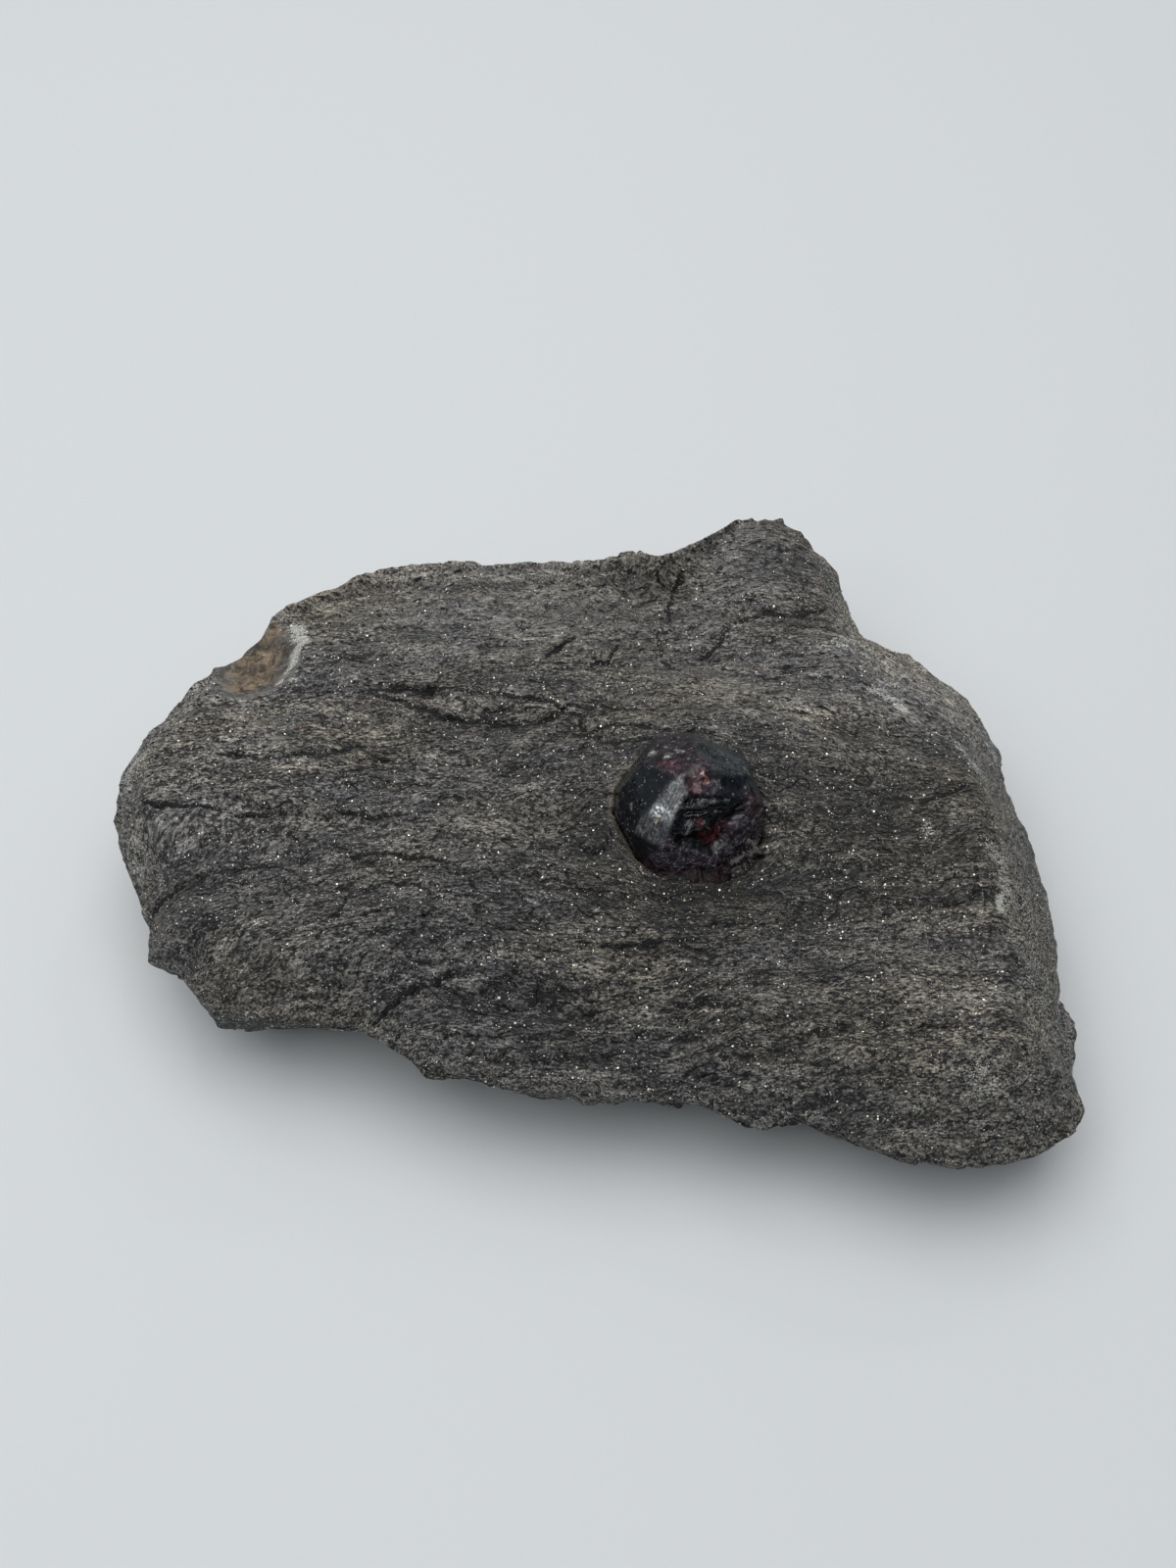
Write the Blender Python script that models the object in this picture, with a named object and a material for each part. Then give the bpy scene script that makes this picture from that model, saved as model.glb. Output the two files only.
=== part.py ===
"""Almandine garnet in mica schist: a broken slab of schist with one dark red crystal set half into its top.

The slab is a stack of three surfaces that share one rim: a top worked out as a height over the plan, a broken
side that falls back under the rim, and a flat patch that it rests on. The crystal is a block cut by flat faces,
and the slab's socket is cut by the same faces moved out by the gap. Built in millimetres, stored in metres, +Z up,
with the origin under the middle of the slab on the surface that it rests on.
"""

import math

import bmesh
import bpy
import numpy as np

MM = 0.001

# The rim: plan x, plan y, height, and the width of the broken slope that leads down to it.
# It runs anticlockwise as seen from above.
RIGHT_EDGE = (
    (77.5, -45.0, 16.0, 15.0),
    (79.0, -36.5, 17.0, 14.0),
    (77.5, -33.0, 17.0, 14.0),
    (78.0, -20.0, 18.0, 13.0),
    (77.0, -6.5, 19.0, 12.0),
    (73.5, 5.5, 19.5, 10.0),
    (73.0, 15.0, 20.0, 11.0),
    (69.0, 25.0, 20.5, 16.0),
    (63.5, 30.5, 21.0, 19.0),
    (58.5, 35.5, 21.0, 15.0),
    (51.5, 38.5, 21.5, 8.0),
)
LOBE_EDGE = (
    (49.5, 43.0, 22.0, 8.0),
    (47.5, 51.5, 24.0, 7.0),
    (43.0, 56.0, 27.0, 6.0),
    (37.5, 60.0, 30.0, 5.0),
    (29.0, 56.5, 33.0, 5.0),
    (21.5, 50.5, 34.0, 5.0),
)
FAR_EDGE = (
    (14.0, 47.5, 33.0, 5.0),
    (9.5, 50.0, 32.5, 5.0),
    (2.5, 48.0, 32.0, 6.0),
    (-15.5, 47.5, 31.5, 7.0),
    (-30.5, 48.5, 31.0, 8.0),
    (-39.5, 46.0, 30.0, 8.0),
    (-48.0, 42.0, 29.0, 7.0),
    (-55.0, 38.5, 28.0, 5.0),
    (-60.0, 33.0, 26.5, 6.0),
    (-68.0, 25.0, 25.0, 7.0),
)
LEFT_EDGE = (
    (-76.0, 14.5, 23.0, 9.0),
    (-78.5, 6.0, 22.0, 9.0),
    (-78.5, -1.0, 21.5, 9.0),
    (-75.5, -8.5, 21.0, 9.0),
    (-71.0, -19.0, 20.5, 10.0),
    (-69.5, -27.0, 20.0, 10.0),
    (-64.5, -28.5, 20.0, 10.0),
    (-61.5, -32.0, 20.0, 11.0),
)
FRONT_EDGE = (
    (-57.5, -36.5, 20.0, 13.0),
    (-35.5, -38.0, 20.0, 18.0),
    (-24.5, -45.0, 19.5, 22.0),
    (-18.5, -46.5, 19.5, 24.0),
    (-8.5, -49.0, 19.0, 26.0),
    (4.5, -50.0, 19.0, 27.0),
    (19.5, -51.0, 18.5, 27.0),
    (28.5, -55.0, 18.0, 26.0),
    (34.5, -54.0, 18.0, 24.0),
    (51.5, -59.5, 17.5, 22.0),
    (61.5, -60.5, 17.0, 20.0),
    (70.5, -58.5, 16.5, 18.0),
    (76.5, -55.0, 16.0, 16.0),
    (79.0, -51.0, 16.0, 15.0),
)
RIM = np.array(RIGHT_EDGE + LOBE_EDGE + FAR_EDGE + LEFT_EDGE + FRONT_EDGE)
HEART = (0.0, -3.0)

# How far the flat patch under the slab lies inside the rim, by bearing in degrees from +X.
UNDERCUT = (
    (-90.0, 21.0),
    (-42.0, 19.0),
    (-28.0, 10.0),
    (0.0, 6.5),
    (45.0, 5.0),
    (90.0, 6.0),
    (150.0, 6.0),
    (180.0, 7.5),
    (197.0, 12.0),
    (210.0, 20.0),
    (270.0, 21.0),
)
UNDERCUT_CURVE = 1.6
SLOPE_ROUNDNESS = 1.6

# The top of the slab.
TOP_HEIGHT = 32.0
FAR_FALL = 0.13
FAR_FALL_STARTS = 8.0
LEFT_FALL = 0.10
LEFT_FALL_STARTS = 40.0
FALL_SOFTNESS = 5.0
# Swells and hollows: x, y, half-width along x, half-width along y, height.
SWELLS = (
    (33.0, 54.0, 15.0, 11.0, 6.5),
    (28.0, 27.0, 22.0, 7.0, -1.8),
    (12.0, -1.0, 15.0, 13.0, 0.9),
    (-25.0, -18.0, 26.0, 12.0, 0.8),
    (55.0, -30.0, 14.0, 16.0, -1.2),
    (-52.0, 8.0, 14.0, 9.0, 0.9),
)
# Ledges where a layer has flaked away in front of a line: x from, x to, y at each end, drop, reach to the front.
LEDGES = (
    (-30.0, 10.0, 22.0, 8.5, 1.3, 12.0),
    (-30.0, -4.0, 14.0, 14.5, 0.9, 9.0),
    (-74.0, -30.0, 1.5, -6.5, 1.2, 12.0),
    (-58.0, 6.0, -30.0, -37.0, 1.3, 10.0),
    (14.0, 62.0, -26.0, -22.0, 0.9, 11.0),
    (22.0, 74.0, -45.0, -42.0, 1.2, 9.0),
)
LEDGE_FADE = 6.0
LEDGE_RISER = 4.0
# The groove on the left flank of the far lobe: from, to, half-width, depth.
GROOVE = ((19.0, 48.0), (14.5, 32.0), 1.8, 1.6)
# The scooped scar on the far left edge: the middle of the bowl, its lowest height, its two half-widths and its rise.
SCAR_MIDDLE = (-65.5, 30.5)
SCAR_FLOOR = 21.5
SCAR_HALF_WIDTHS = (11.5, 15.0)
SCAR_RISE = 6.5

# Lumps in the top and in the broken sides.
TOP_LUMP_SIZES = (26.0, 13.0)
TOP_LUMP_HEIGHT = 0.9
SIDE_LUMP_SIZE = 14.0
SIDE_LUMP_DEPTH = 2.2
BED_THICKNESS = 6.5
BED_STEP = 2.2
SEED = 11

TOP_CELLS = 48
SIDE_ROWS = 9

# The crystal: its middle, then each flat face as bearing and rise of its outward direction in degrees, and its
# distance from the middle.
CRYSTAL_MIDDLE = (18.0, -7.2, 33.8)
SOCKET_GAP = 0.3
TOP_FACES = (
    (-158.0, 54.0, 11.3),
    (-125.0, 55.0, 11.15),
    (126.0, 69.0, 11.3),
    (36.0, 59.0, 11.0),
    (-21.0, 38.0, 11.5),
    (-87.0, 44.0, 11.0),
    (-57.0, 70.0, 11.2),
    (-84.0, 9.0, 10.9),
    (-163.0, 26.0, 11.4),
    (-127.0, 10.0, 11.3),
    (-50.0, 12.0, 11.1),
)
SIDE_FACES = (
    (152.0, 24.0, 11.5),
    (98.0, 38.0, 12.4),
    (59.0, 38.0, 11.1),
    (15.0, 19.0, 11.6),
    (-4.0, 1.0, 12.1),
    (179.0, 9.0, 11.9),
    (-157.0, -10.0, 11.2),
)
HIDDEN_FACES = (
    (118.0, -8.0, 11.8),
    (70.0, -14.0, 11.8),
    (30.0, -30.0, 11.8),
    (-40.0, -38.0, 11.6),
    (-95.0, -30.0, 11.8),
    (-140.0, -45.0, 11.6),
    (150.0, -42.0, 11.7),
    (90.0, -55.0, 11.8),
    (0.0, -85.0, 11.4),
)
CRYSTAL_FACES = TOP_FACES + SIDE_FACES + HIDDEN_FACES
ROUGH_BLOCK_SIDE = 40.0

SCHIST_COLOUR = (0.085, 0.082, 0.078, 1.0)
SCHIST_ROUGHNESS = 0.75
GARNET_COLOUR = (0.030, 0.006, 0.010, 1.0)
GARNET_ROUGHNESS = 0.22


def clear_scene():
    for old in list(bpy.data.objects):
        bpy.data.objects.remove(old, do_unlink=True)


def make_material(name, colour, roughness):
    material = bpy.data.materials.new(name)
    material.use_nodes = True
    shader = material.node_tree.nodes["Principled BSDF"]
    shader.inputs["Base Color"].default_value = colour
    shader.inputs["Roughness"].default_value = roughness
    shader.inputs["Metallic"].default_value = 0.0
    material.diffuse_color = colour
    return material


def smooth_step(value):
    """0 below 0, 1 above 1, and an S-shaped rise between."""
    held = np.clip(value, 0.0, 1.0)
    return held * held * (3.0 - 2.0 * held)


def soft_ramp(value, softness):
    """0 well below 0 and the value itself well above it, turning gently over the softness."""
    return softness * np.logaddexp(0.0, value / softness)


def lattice_value(i, j, k, seed):
    """A fixed number from -1 to 1 for each whole-numbered corner of a lattice."""
    mixed = i * 374761393 + j * 668265263 + k * 2147483647 + seed * 1274126177
    mixed = (mixed ^ (mixed >> 13)) * 1103515245 & 0x7FFFFFFF
    mixed = (mixed ^ (mixed >> 16)) * 1274126177 & 0x7FFFFFFF
    return mixed / 0x3FFFFFFF - 1.0


def lumps(x, y, z, seed):
    """Smooth lumps one unit apart, from -1 to 1: the values of the lattice corners, blended across each cell."""
    corner = [np.floor(axis).astype(np.int64) for axis in (x, y, z)]
    blend = [smooth_step(axis - low) for axis, low in zip((x, y, z), corner)]
    total = np.zeros(np.broadcast(x, y, z).shape)
    for di in (0, 1):
        for dj in (0, 1):
            for dk in (0, 1):
                share = (
                    (blend[0] if di else 1.0 - blend[0])
                    * (blend[1] if dj else 1.0 - blend[1])
                    * (blend[2] if dk else 1.0 - blend[2])
                )
                total = total + share * lattice_value(
                    corner[0] + di, corner[1] + dj, corner[2] + dk, seed
                )
    return total


def rim_at(bearing):
    """Radius, height and slope width of the rim at each bearing from the heart, in straight lines between points."""
    dx = RIM[:, 0] - HEART[0]
    dy = RIM[:, 1] - HEART[1]
    angles = np.arctan2(dy, dx)
    order = np.argsort(angles)
    angles = angles[order]
    radii = np.hypot(dx, dy)[order]
    values = RIM[order, 2:]
    angles = np.append(angles, angles[0] + 2.0 * math.pi)
    radii = np.append(radii, radii[0])
    values = np.vstack([values, values[:1]])
    bearing = np.mod(bearing - angles[0], 2.0 * math.pi) + angles[0]
    after = np.clip(np.searchsorted(angles, bearing, side="right"), 1, len(angles) - 1)
    before = after - 1
    to_next = np.sin(angles[after] - bearing)
    to_last = np.sin(bearing - angles[before])
    span = np.sin(angles[after] - angles[before])
    radius = radii[before] * radii[after] * span / (radii[before] * to_last + radii[after] * to_next)
    share = radius * to_last / (radii[after] * span)
    height = values[before, 0] + (values[after, 0] - values[before, 0]) * share
    width = values[before, 1] + (values[after, 1] - values[before, 1]) * share
    return radius, height, width


def undercut_at(bearing):
    degrees = np.mod(np.degrees(bearing) + 90.0, 360.0) - 90.0
    table = np.array(UNDERCUT)
    return np.interp(degrees, table[:, 0], table[:, 1])


def ledges_at(x, y):
    """How far the top lies below the layers that flaked away: a sharp drop at each line, healed a little in front."""
    drop = np.zeros(np.shape(x))
    for x_from, x_to, y_from, y_to, height, reach in LEDGES:
        share = np.clip((x - x_from) / (x_to - x_from), 0.0, 1.0)
        behind = y_from + (y_to - y_from) * share + 1.6 * lumps(x / 9.0, 0.0 * x, 0.0 * x, SEED + 5) - y
        ends = smooth_step((x - x_from) / LEDGE_FADE) * smooth_step((x_to - x) / LEDGE_FADE)
        drop += height * ends * smooth_step(behind / LEDGE_RISER) * (1.0 - smooth_step(behind / reach))
    return drop


def groove_at(x, y):
    """Depth of the groove on the lobe's left flank, by the distance from its line."""
    start, end, half_width, depth = GROOVE
    along = np.array(end) - np.array(start)
    share = ((x - start[0]) * along[0] + (y - start[1]) * along[1]) / (along @ along)
    share = np.clip(share, 0.0, 1.0)
    distance = np.hypot(x - start[0] - share * along[0], y - start[1] - share * along[1])
    return depth * (1.0 - smooth_step(distance / half_width)) * (1.0 - 0.6 * share)


def top_height(x, y, bearing, inward):
    """Height of the top at plan x, y: a gently falling sheet with swells, rolled down to the rim, then cut."""
    _, rim_height, slope_width = rim_at(bearing)
    sheet = TOP_HEIGHT - FAR_FALL * soft_ramp(y - FAR_FALL_STARTS, FALL_SOFTNESS)
    sheet = sheet - LEFT_FALL * soft_ramp(-x - LEFT_FALL_STARTS, FALL_SOFTNESS)
    for middle_x, middle_y, half_x, half_y, height in SWELLS:
        sheet = sheet + height * np.exp(-(((x - middle_x) / half_x) ** 2) - ((y - middle_y) / half_y) ** 2)
    for share, size in enumerate(TOP_LUMP_SIZES):
        sheet = sheet + TOP_LUMP_HEIGHT / (1 + share) * lumps(x / size, 1.8 * y / size, 0.0 * x, SEED + share)
    sheet = sheet - ledges_at(x, y) - groove_at(x, y)
    rolled = 1.0 - (1.0 - np.clip(inward / slope_width, 0.0, 1.0)) ** SLOPE_ROUNDNESS
    height = rim_height + (sheet - rim_height) * rolled
    across = (x - SCAR_MIDDLE[0]) / SCAR_HALF_WIDTHS[0]
    along = (y - SCAR_MIDDLE[1]) / SCAR_HALF_WIDTHS[1]
    return np.minimum(height, SCAR_FLOOR + SCAR_RISE * (across**2 + along**2))


def side_setback(bearing, x, y, z, fallen):
    """How far the broken side lies inside the rim: the undercut, with lumps and beds that stick out or fall back."""
    setback = undercut_at(bearing) * fallen**UNDERCUT_CURVE
    setback = setback + SIDE_LUMP_DEPTH * lumps(
        x / SIDE_LUMP_SIZE, y / SIDE_LUMP_SIZE, z / SIDE_LUMP_SIZE, SEED + 20
    )
    bed = z / BED_THICKNESS + 0.012 * x + 0.4 * lumps(x / 30.0, y / 30.0, 0.0 * x, SEED + 21)
    layer = np.floor(bed)
    edge = smooth_step((bed - layer - 0.6) / 0.4)
    low = lumps(x / 17.0, y / 17.0, layer * 3.7, SEED + 22)
    high = lumps(x / 17.0, y / 17.0, (layer + 1.0) * 3.7, SEED + 22)
    setback = setback + BED_STEP * (low + (high - low) * edge)
    return np.maximum(setback, 0.0) * smooth_step(fallen / 0.12)


def disc_from_square(u, v):
    """Squares drawn round the middle become circles: the larger of |u| and |v| is the share of the radius."""
    share = np.maximum(np.abs(u), np.abs(v))
    wide = np.abs(u) > np.abs(v)
    safe_u = np.where(wide, u, 1.0)
    safe_v = np.where(wide | (v == 0.0), 1.0, v)
    from_u = math.pi / 4.0 * v / safe_u + np.where(u < 0.0, math.pi, 0.0)
    from_v = math.pi / 2.0 - math.pi / 4.0 * u / safe_v + np.where(v < 0.0, math.pi, 0.0)
    return share, np.where(wide, from_u, from_v)


def border_of_grid(cells):
    """Indices of the grid's outer points, once round, anticlockwise."""
    index = np.arange((cells + 1) ** 2).reshape(cells + 1, cells + 1)
    return np.concatenate([index[0, :-1], index[:-1, -1], index[-1, :0:-1], index[:0:-1, 0]])


def slab_mesh(cells, rows):
    """Vertices in millimetres and faces of the whole slab without its socket."""
    steps = np.linspace(-1.0, 1.0, cells + 1)
    u, v = np.meshgrid(steps, steps)
    share, bearing = disc_from_square(u.ravel(), v.ravel())
    radius, _, _ = rim_at(bearing)
    x = HEART[0] + share * radius * np.cos(bearing)
    y = HEART[1] + share * radius * np.sin(bearing)
    top = np.column_stack([x, y, top_height(x, y, bearing, (1.0 - share) * radius)])

    border = border_of_grid(cells)
    rim_points = top[border]
    rim_bearing = bearing[border]
    cosine = np.cos(rim_bearing)
    sine = np.sin(rim_bearing)
    layers = []
    for row in range(1, rows + 1):
        fallen = row / rows
        z = rim_points[:, 2] * (1.0 - fallen)
        setback = side_setback(rim_bearing, rim_points[:, 0], rim_points[:, 1], z, np.full(len(z), fallen))
        side_x = rim_points[:, 0] - setback * cosine
        side_y = rim_points[:, 1] - setback * sine
        layers.append(np.column_stack([side_x, side_y, z]))
    vertices = np.vstack([top] + layers)

    count = len(border)
    grid = np.arange((cells + 1) ** 2).reshape(cells + 1, cells + 1)
    quads = np.stack([grid[:-1, :-1], grid[:-1, 1:], grid[1:, 1:], grid[1:, :-1]], axis=-1)
    faces = quads.reshape(-1, 4).tolist()
    ring = border
    for row in range(rows):
        below = len(top) + row * count + np.arange(count)
        faces += np.column_stack([ring, below, np.roll(below, -1), np.roll(ring, -1)]).tolist()
        ring = below
    faces.append(ring[::-1].tolist())
    return vertices, faces


def direction(bearing, rise):
    bearing = math.radians(bearing)
    rise = math.radians(rise)
    level = math.cos(rise)
    return np.array([level * math.cos(bearing), level * math.sin(bearing), math.sin(rise)])


def cut_crystal(name, gap):
    """A block cut by each face in turn, with every face moved outwards by the gap."""
    body = bmesh.new()
    bmesh.ops.create_cube(body, size=ROUGH_BLOCK_SIDE)
    for bearing, rise, distance in CRYSTAL_FACES:
        outward = direction(bearing, rise)
        cut = bmesh.ops.bisect_plane(
            body,
            geom=body.verts[:] + body.edges[:] + body.faces[:],
            dist=1e-5,
            plane_co=outward * (distance + gap),
            plane_no=outward,
            clear_outer=True,
        )
        rim_edges = [part for part in cut["geom_cut"] if isinstance(part, bmesh.types.BMEdge)]
        bmesh.ops.edgeloop_fill(body, edges=rim_edges)
    bmesh.ops.translate(body, verts=body.verts, vec=CRYSTAL_MIDDLE)
    bmesh.ops.scale(body, verts=body.verts, vec=(MM, MM, MM))
    bmesh.ops.recalc_face_normals(body, faces=body.faces)
    mesh = bpy.data.meshes.new(name)
    body.to_mesh(mesh)
    body.free()
    return mesh


def add_object(name, mesh, material=None):
    thing = bpy.data.objects.new(name, mesh)
    bpy.context.scene.collection.objects.link(thing)
    if material:
        mesh.materials.append(material)
    return thing


def build_crystal():
    mesh = cut_crystal("garnet_crystal", 0.0)
    material = make_material("dark_red_garnet", GARNET_COLOUR, GARNET_ROUGHNESS)
    return add_object("garnet_crystal", mesh, material)


def build_matrix():
    vertices, faces = slab_mesh(TOP_CELLS, SIDE_ROWS)
    mesh = bpy.data.meshes.new("schist_matrix")
    mesh.from_pydata((vertices * MM).tolist(), [], faces)
    mesh.update()
    material = make_material("dark_mica_schist", SCHIST_COLOUR, SCHIST_ROUGHNESS)
    slab = add_object("schist_matrix", mesh, material)

    cutter = add_object("socket_cutter", cut_crystal("socket_cutter", SOCKET_GAP))
    cutter.hide_render = True
    cutter.display_type = "WIRE"
    socket = slab.modifiers.new("socket", "BOOLEAN")
    socket.operation = "DIFFERENCE"
    socket.object = cutter
    return slab


clear_scene()
build_crystal()
build_matrix()
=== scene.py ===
# %% [markdown]
# # A garnet in mica schist
# The object is a broken slab of dark mica schist with one dark red garnet standing half out of its top. Two
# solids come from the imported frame: the slab and the crystal. Each is dressed here by a finer surface of
# the same form, worked out from the same few dimensions, and then given the finish of the real stone.

# %% Load the frame
import math

import bpy
import numpy as np
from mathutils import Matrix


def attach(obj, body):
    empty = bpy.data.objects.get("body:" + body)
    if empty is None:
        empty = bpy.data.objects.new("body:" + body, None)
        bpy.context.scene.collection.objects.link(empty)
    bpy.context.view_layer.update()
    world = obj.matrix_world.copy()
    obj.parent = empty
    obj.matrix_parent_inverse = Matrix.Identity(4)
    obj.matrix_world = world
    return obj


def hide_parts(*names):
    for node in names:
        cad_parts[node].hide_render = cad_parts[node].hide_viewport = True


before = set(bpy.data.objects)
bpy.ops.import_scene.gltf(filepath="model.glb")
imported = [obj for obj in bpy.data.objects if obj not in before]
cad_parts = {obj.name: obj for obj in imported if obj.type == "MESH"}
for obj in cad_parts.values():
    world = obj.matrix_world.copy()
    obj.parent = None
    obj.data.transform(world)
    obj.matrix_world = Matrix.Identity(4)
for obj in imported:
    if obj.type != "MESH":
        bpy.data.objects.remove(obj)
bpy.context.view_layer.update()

MM = 0.001

# %% [markdown]
# ## Node helpers
# A material is a small graph of nodes, which could be wired one link at a time. Here a node's output is
# wrapped as a signal instead: a sum written with signals adds the maths nodes for it, so a material reads
# like its formula. The other helpers add a node, send a value through a ramp, mix two colours, and make
# noise.

# %% Signals
class Signal:
    """One output of a node. A sum that is written with signals adds the maths nodes for it."""

    def __init__(self, tree, socket):
        self.tree, self.socket = tree, socket

    def output(self, name):
        """Another output of the same node."""
        return Signal(self.tree, self.socket.node.outputs[name])

    def clamped(self):
        """The same sum, held between 0 and 1."""
        self.socket.node.use_clamp = True
        return self

    def __add__(self, other):
        return maths("ADD", self, other)

    def __sub__(self, other):
        return maths("SUBTRACT", self, other)

    def __rsub__(self, other):
        return maths("SUBTRACT", other, self)

    def __mul__(self, other):
        return maths("MULTIPLY", self, other)

    def __truediv__(self, other):
        return maths("DIVIDE", self, other)

    def __abs__(self):
        return maths("ABSOLUTE", self)


def set_inputs(node, inputs):
    """Links a signal to each named input of a node, or sets the number or colour that it holds."""
    for name, value in inputs.items():
        if isinstance(value, Signal):
            value.tree.links.new(value.socket, node.inputs[name])
        else:
            node.inputs[name].default_value = value


def add_node(tree, kind, inputs, output=0, **settings):
    """Adds a node with its properties and inputs, and gives one of its outputs as a signal."""
    node = tree.nodes.new("ShaderNode" + kind)
    for name, value in settings.items():
        setattr(node, name, value)
    set_inputs(node, inputs)
    return Signal(tree, node.outputs[output])


def tree_of(*parts):
    """The node tree of the first signal among some values."""
    return next(part.tree for part in parts if isinstance(part, Signal))


def maths(operation, first, second=0.0):
    """One maths node on two values, of which at least one is a signal."""
    return add_node(tree_of(first, second), "Math", {0: first, 1: second}, operation=operation)


def largest(first, *others):
    """The largest of several signals at each point."""
    for other in others:
        first = maths("MAXIMUM", first, other)
    return first


# %% Ramps, mixes and noise
def ramp(value, stops):
    """A colour ramp through stops of (place, grey or colour)."""
    colour = add_node(value.tree, "ValToRGB", {"Fac": value})
    elements = colour.socket.node.color_ramp.elements
    for index, (place, shade) in enumerate(stops):
        element = elements[index] if index < 2 else elements.new(place)
        element.position = place
        element.color = (*shade, 1.0) if isinstance(shade, tuple) else (shade, shade, shade, 1.0)
    return colour


def mix_colour(share, first, second, blend="MIX"):
    """The second colour, or its blend with the first, laid over the first by a share."""
    first, second = ((*part, 1.0) if isinstance(part, tuple) else part for part in (first, second))
    tree = tree_of(share, first, second)
    return add_node(tree, "Mix", {0: share, 6: first, 7: second}, 2, data_type="RGBA", blend_type=blend)


def tinted(colour, tint, share=1.0):
    """A colour multiplied by a tint, or moved a share of the way there."""
    return mix_colour(share, colour, tint, "MULTIPLY")


def noise(vector, scale, detail, roughness=0.55, distortion=0.0):
    """Noise from 0 to 1, finer with a larger scale, which is one number or one for each axis."""
    if isinstance(scale, tuple):
        vector, scale = add_node(vector.tree, "Mapping", {"Vector": vector, "Scale": scale}), 1.0
    inputs = {"Vector": vector, "Scale": scale, "Detail": detail, "Roughness": roughness}
    return add_node(vector.tree, "TexNoise", inputs | {"Distortion": distortion})


def band(value, middle, half_width):
    """1 on a line where a value passes the middle, falling to 0 at the half width."""
    return (1.0 - abs(value - middle) / half_width).clamped()


def point_value(tree, name, output="Fac"):
    """A value or colour that the piece keeps for each of its points."""
    return add_node(tree, "Attribute", {}, output, attribute_name=name)


def bump(height, strength, distance):
    """A normal tilted by the slope of a height, which counts for a distance in metres."""
    return add_node(height.tree, "Bump", {"Strength": strength, "Distance": distance, "Height": height})


def new_material(name):
    """A material, its node tree and its shader."""
    material = bpy.data.materials.new(name)
    material.use_nodes = True
    return material, material.node_tree, material.node_tree.nodes["Principled BSDF"]


# %% [markdown]
# ## Camera, floor and light
# The slab was seen from a hand's height, looking down by 56 degrees, with a short lens. The camera is
# placed by the point that it aims at and its distance. The floor is one pale sheet, and the light is a wide
# soft one above and a little behind, so the near edge throws a soft shadow towards the viewer. The bright
# face of the crystal mirrors a small soft panel at the front left, and two smaller panels behind make the
# mica flash.

# %% Camera
AIM = (1.5, 2.0, 28.0)
LOOK_DOWN = math.radians(56.0)
CAMERA_DISTANCE = 290.0
LENS = 40.0
SENSOR_WIDTH = 36.0
NEAREST, FARTHEST = 0.01, 20.0


def add_object(name, data):
    """Puts a camera, a light or a mesh into the scene."""
    made = bpy.data.objects.new(name, data)
    bpy.context.scene.collection.objects.link(made)
    return made


def add_camera():
    """The camera stands back from its aim along a line that rises by the look-down angle."""
    data = bpy.data.cameras.new("camera")
    data.lens, data.sensor_width = LENS, SENSOR_WIDTH
    data.clip_start, data.clip_end = NEAREST, FARTHEST
    camera = add_object("camera", data)
    back, up = CAMERA_DISTANCE * math.cos(LOOK_DOWN), CAMERA_DISTANCE * math.sin(LOOK_DOWN)
    camera.location = (AIM[0] * MM, (AIM[1] - back) * MM, (AIM[2] + up) * MM)
    camera.rotation_euler = (math.pi / 2.0 - LOOK_DOWN, 0.0, 0.0)
    return camera


bpy.context.scene.camera = add_camera()
print("camera at:", tuple(bpy.context.scene.camera.location))

# %% Floor and light
FLOOR_REACH = 3.0
FLOOR_FINISH = {"Base Color": (0.735, 0.755, 0.760, 1.0), "Roughness": 0.6, "Specular IOR Level": 0.2}
# Panels: name, place, what each faces, size, power
PANELS = (
    ("overhead", (-0.13, 0.15, 1.00), (0.0, 0.0, 0.0), 1.10, 7.0),
    ("front_left", (-0.40, -0.27, 0.56), (0.018, -0.007, 0.035), 0.22, 0.28),
    ("glint_left", (-0.30, 0.50, 0.72), (0.0, 0.0, 0.03), 0.07, 0.20),
    ("glint_right", (0.28, 0.62, 0.62), (0.0, 0.0, 0.03), 0.07, 0.20),
)
SKY_TOWARD = (0.0, 0.20, 0.98)
SKY_ABOVE = (0.93, 0.97, 1.0)
SKY_LOW = (0.100, 0.123, 0.155)
SKY_SEEN = (0.62, 0.64, 0.65)
SKY_STRENGTH = 0.50
SKY_LIMITS = {"From Min": 0.10, "From Max": 0.95}


def add_floor():
    """One square sheet at height 0 with a pale, nearly matt finish."""
    mesh = bpy.data.meshes.new("floor")
    corners = [(x * FLOOR_REACH, y * FLOOR_REACH, 0.0) for x, y in ((-1, -1), (1, -1), (1, 1), (-1, 1))]
    mesh.from_pydata(corners, [], [(0, 1, 2, 3)])
    material, _, shader = new_material("pale_table")
    set_inputs(shader, FLOOR_FINISH)
    mesh.materials.append(material)
    return add_object("floor", mesh)


def add_panel(name, place, target, size, power):
    """A square soft light at a place in metres, turned to face the target."""
    data = bpy.data.lights.new(name, "AREA")
    data.shape, data.size, data.energy = "SQUARE", size, power
    lamp = add_object(name, data)
    lamp.location = place
    away = np.array(place) - np.array(target)
    level = math.hypot(away[0], away[1])
    lamp.rotation_euler = (math.atan2(level, away[2]), 0.0, math.atan2(away[0], -away[1]))


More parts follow.
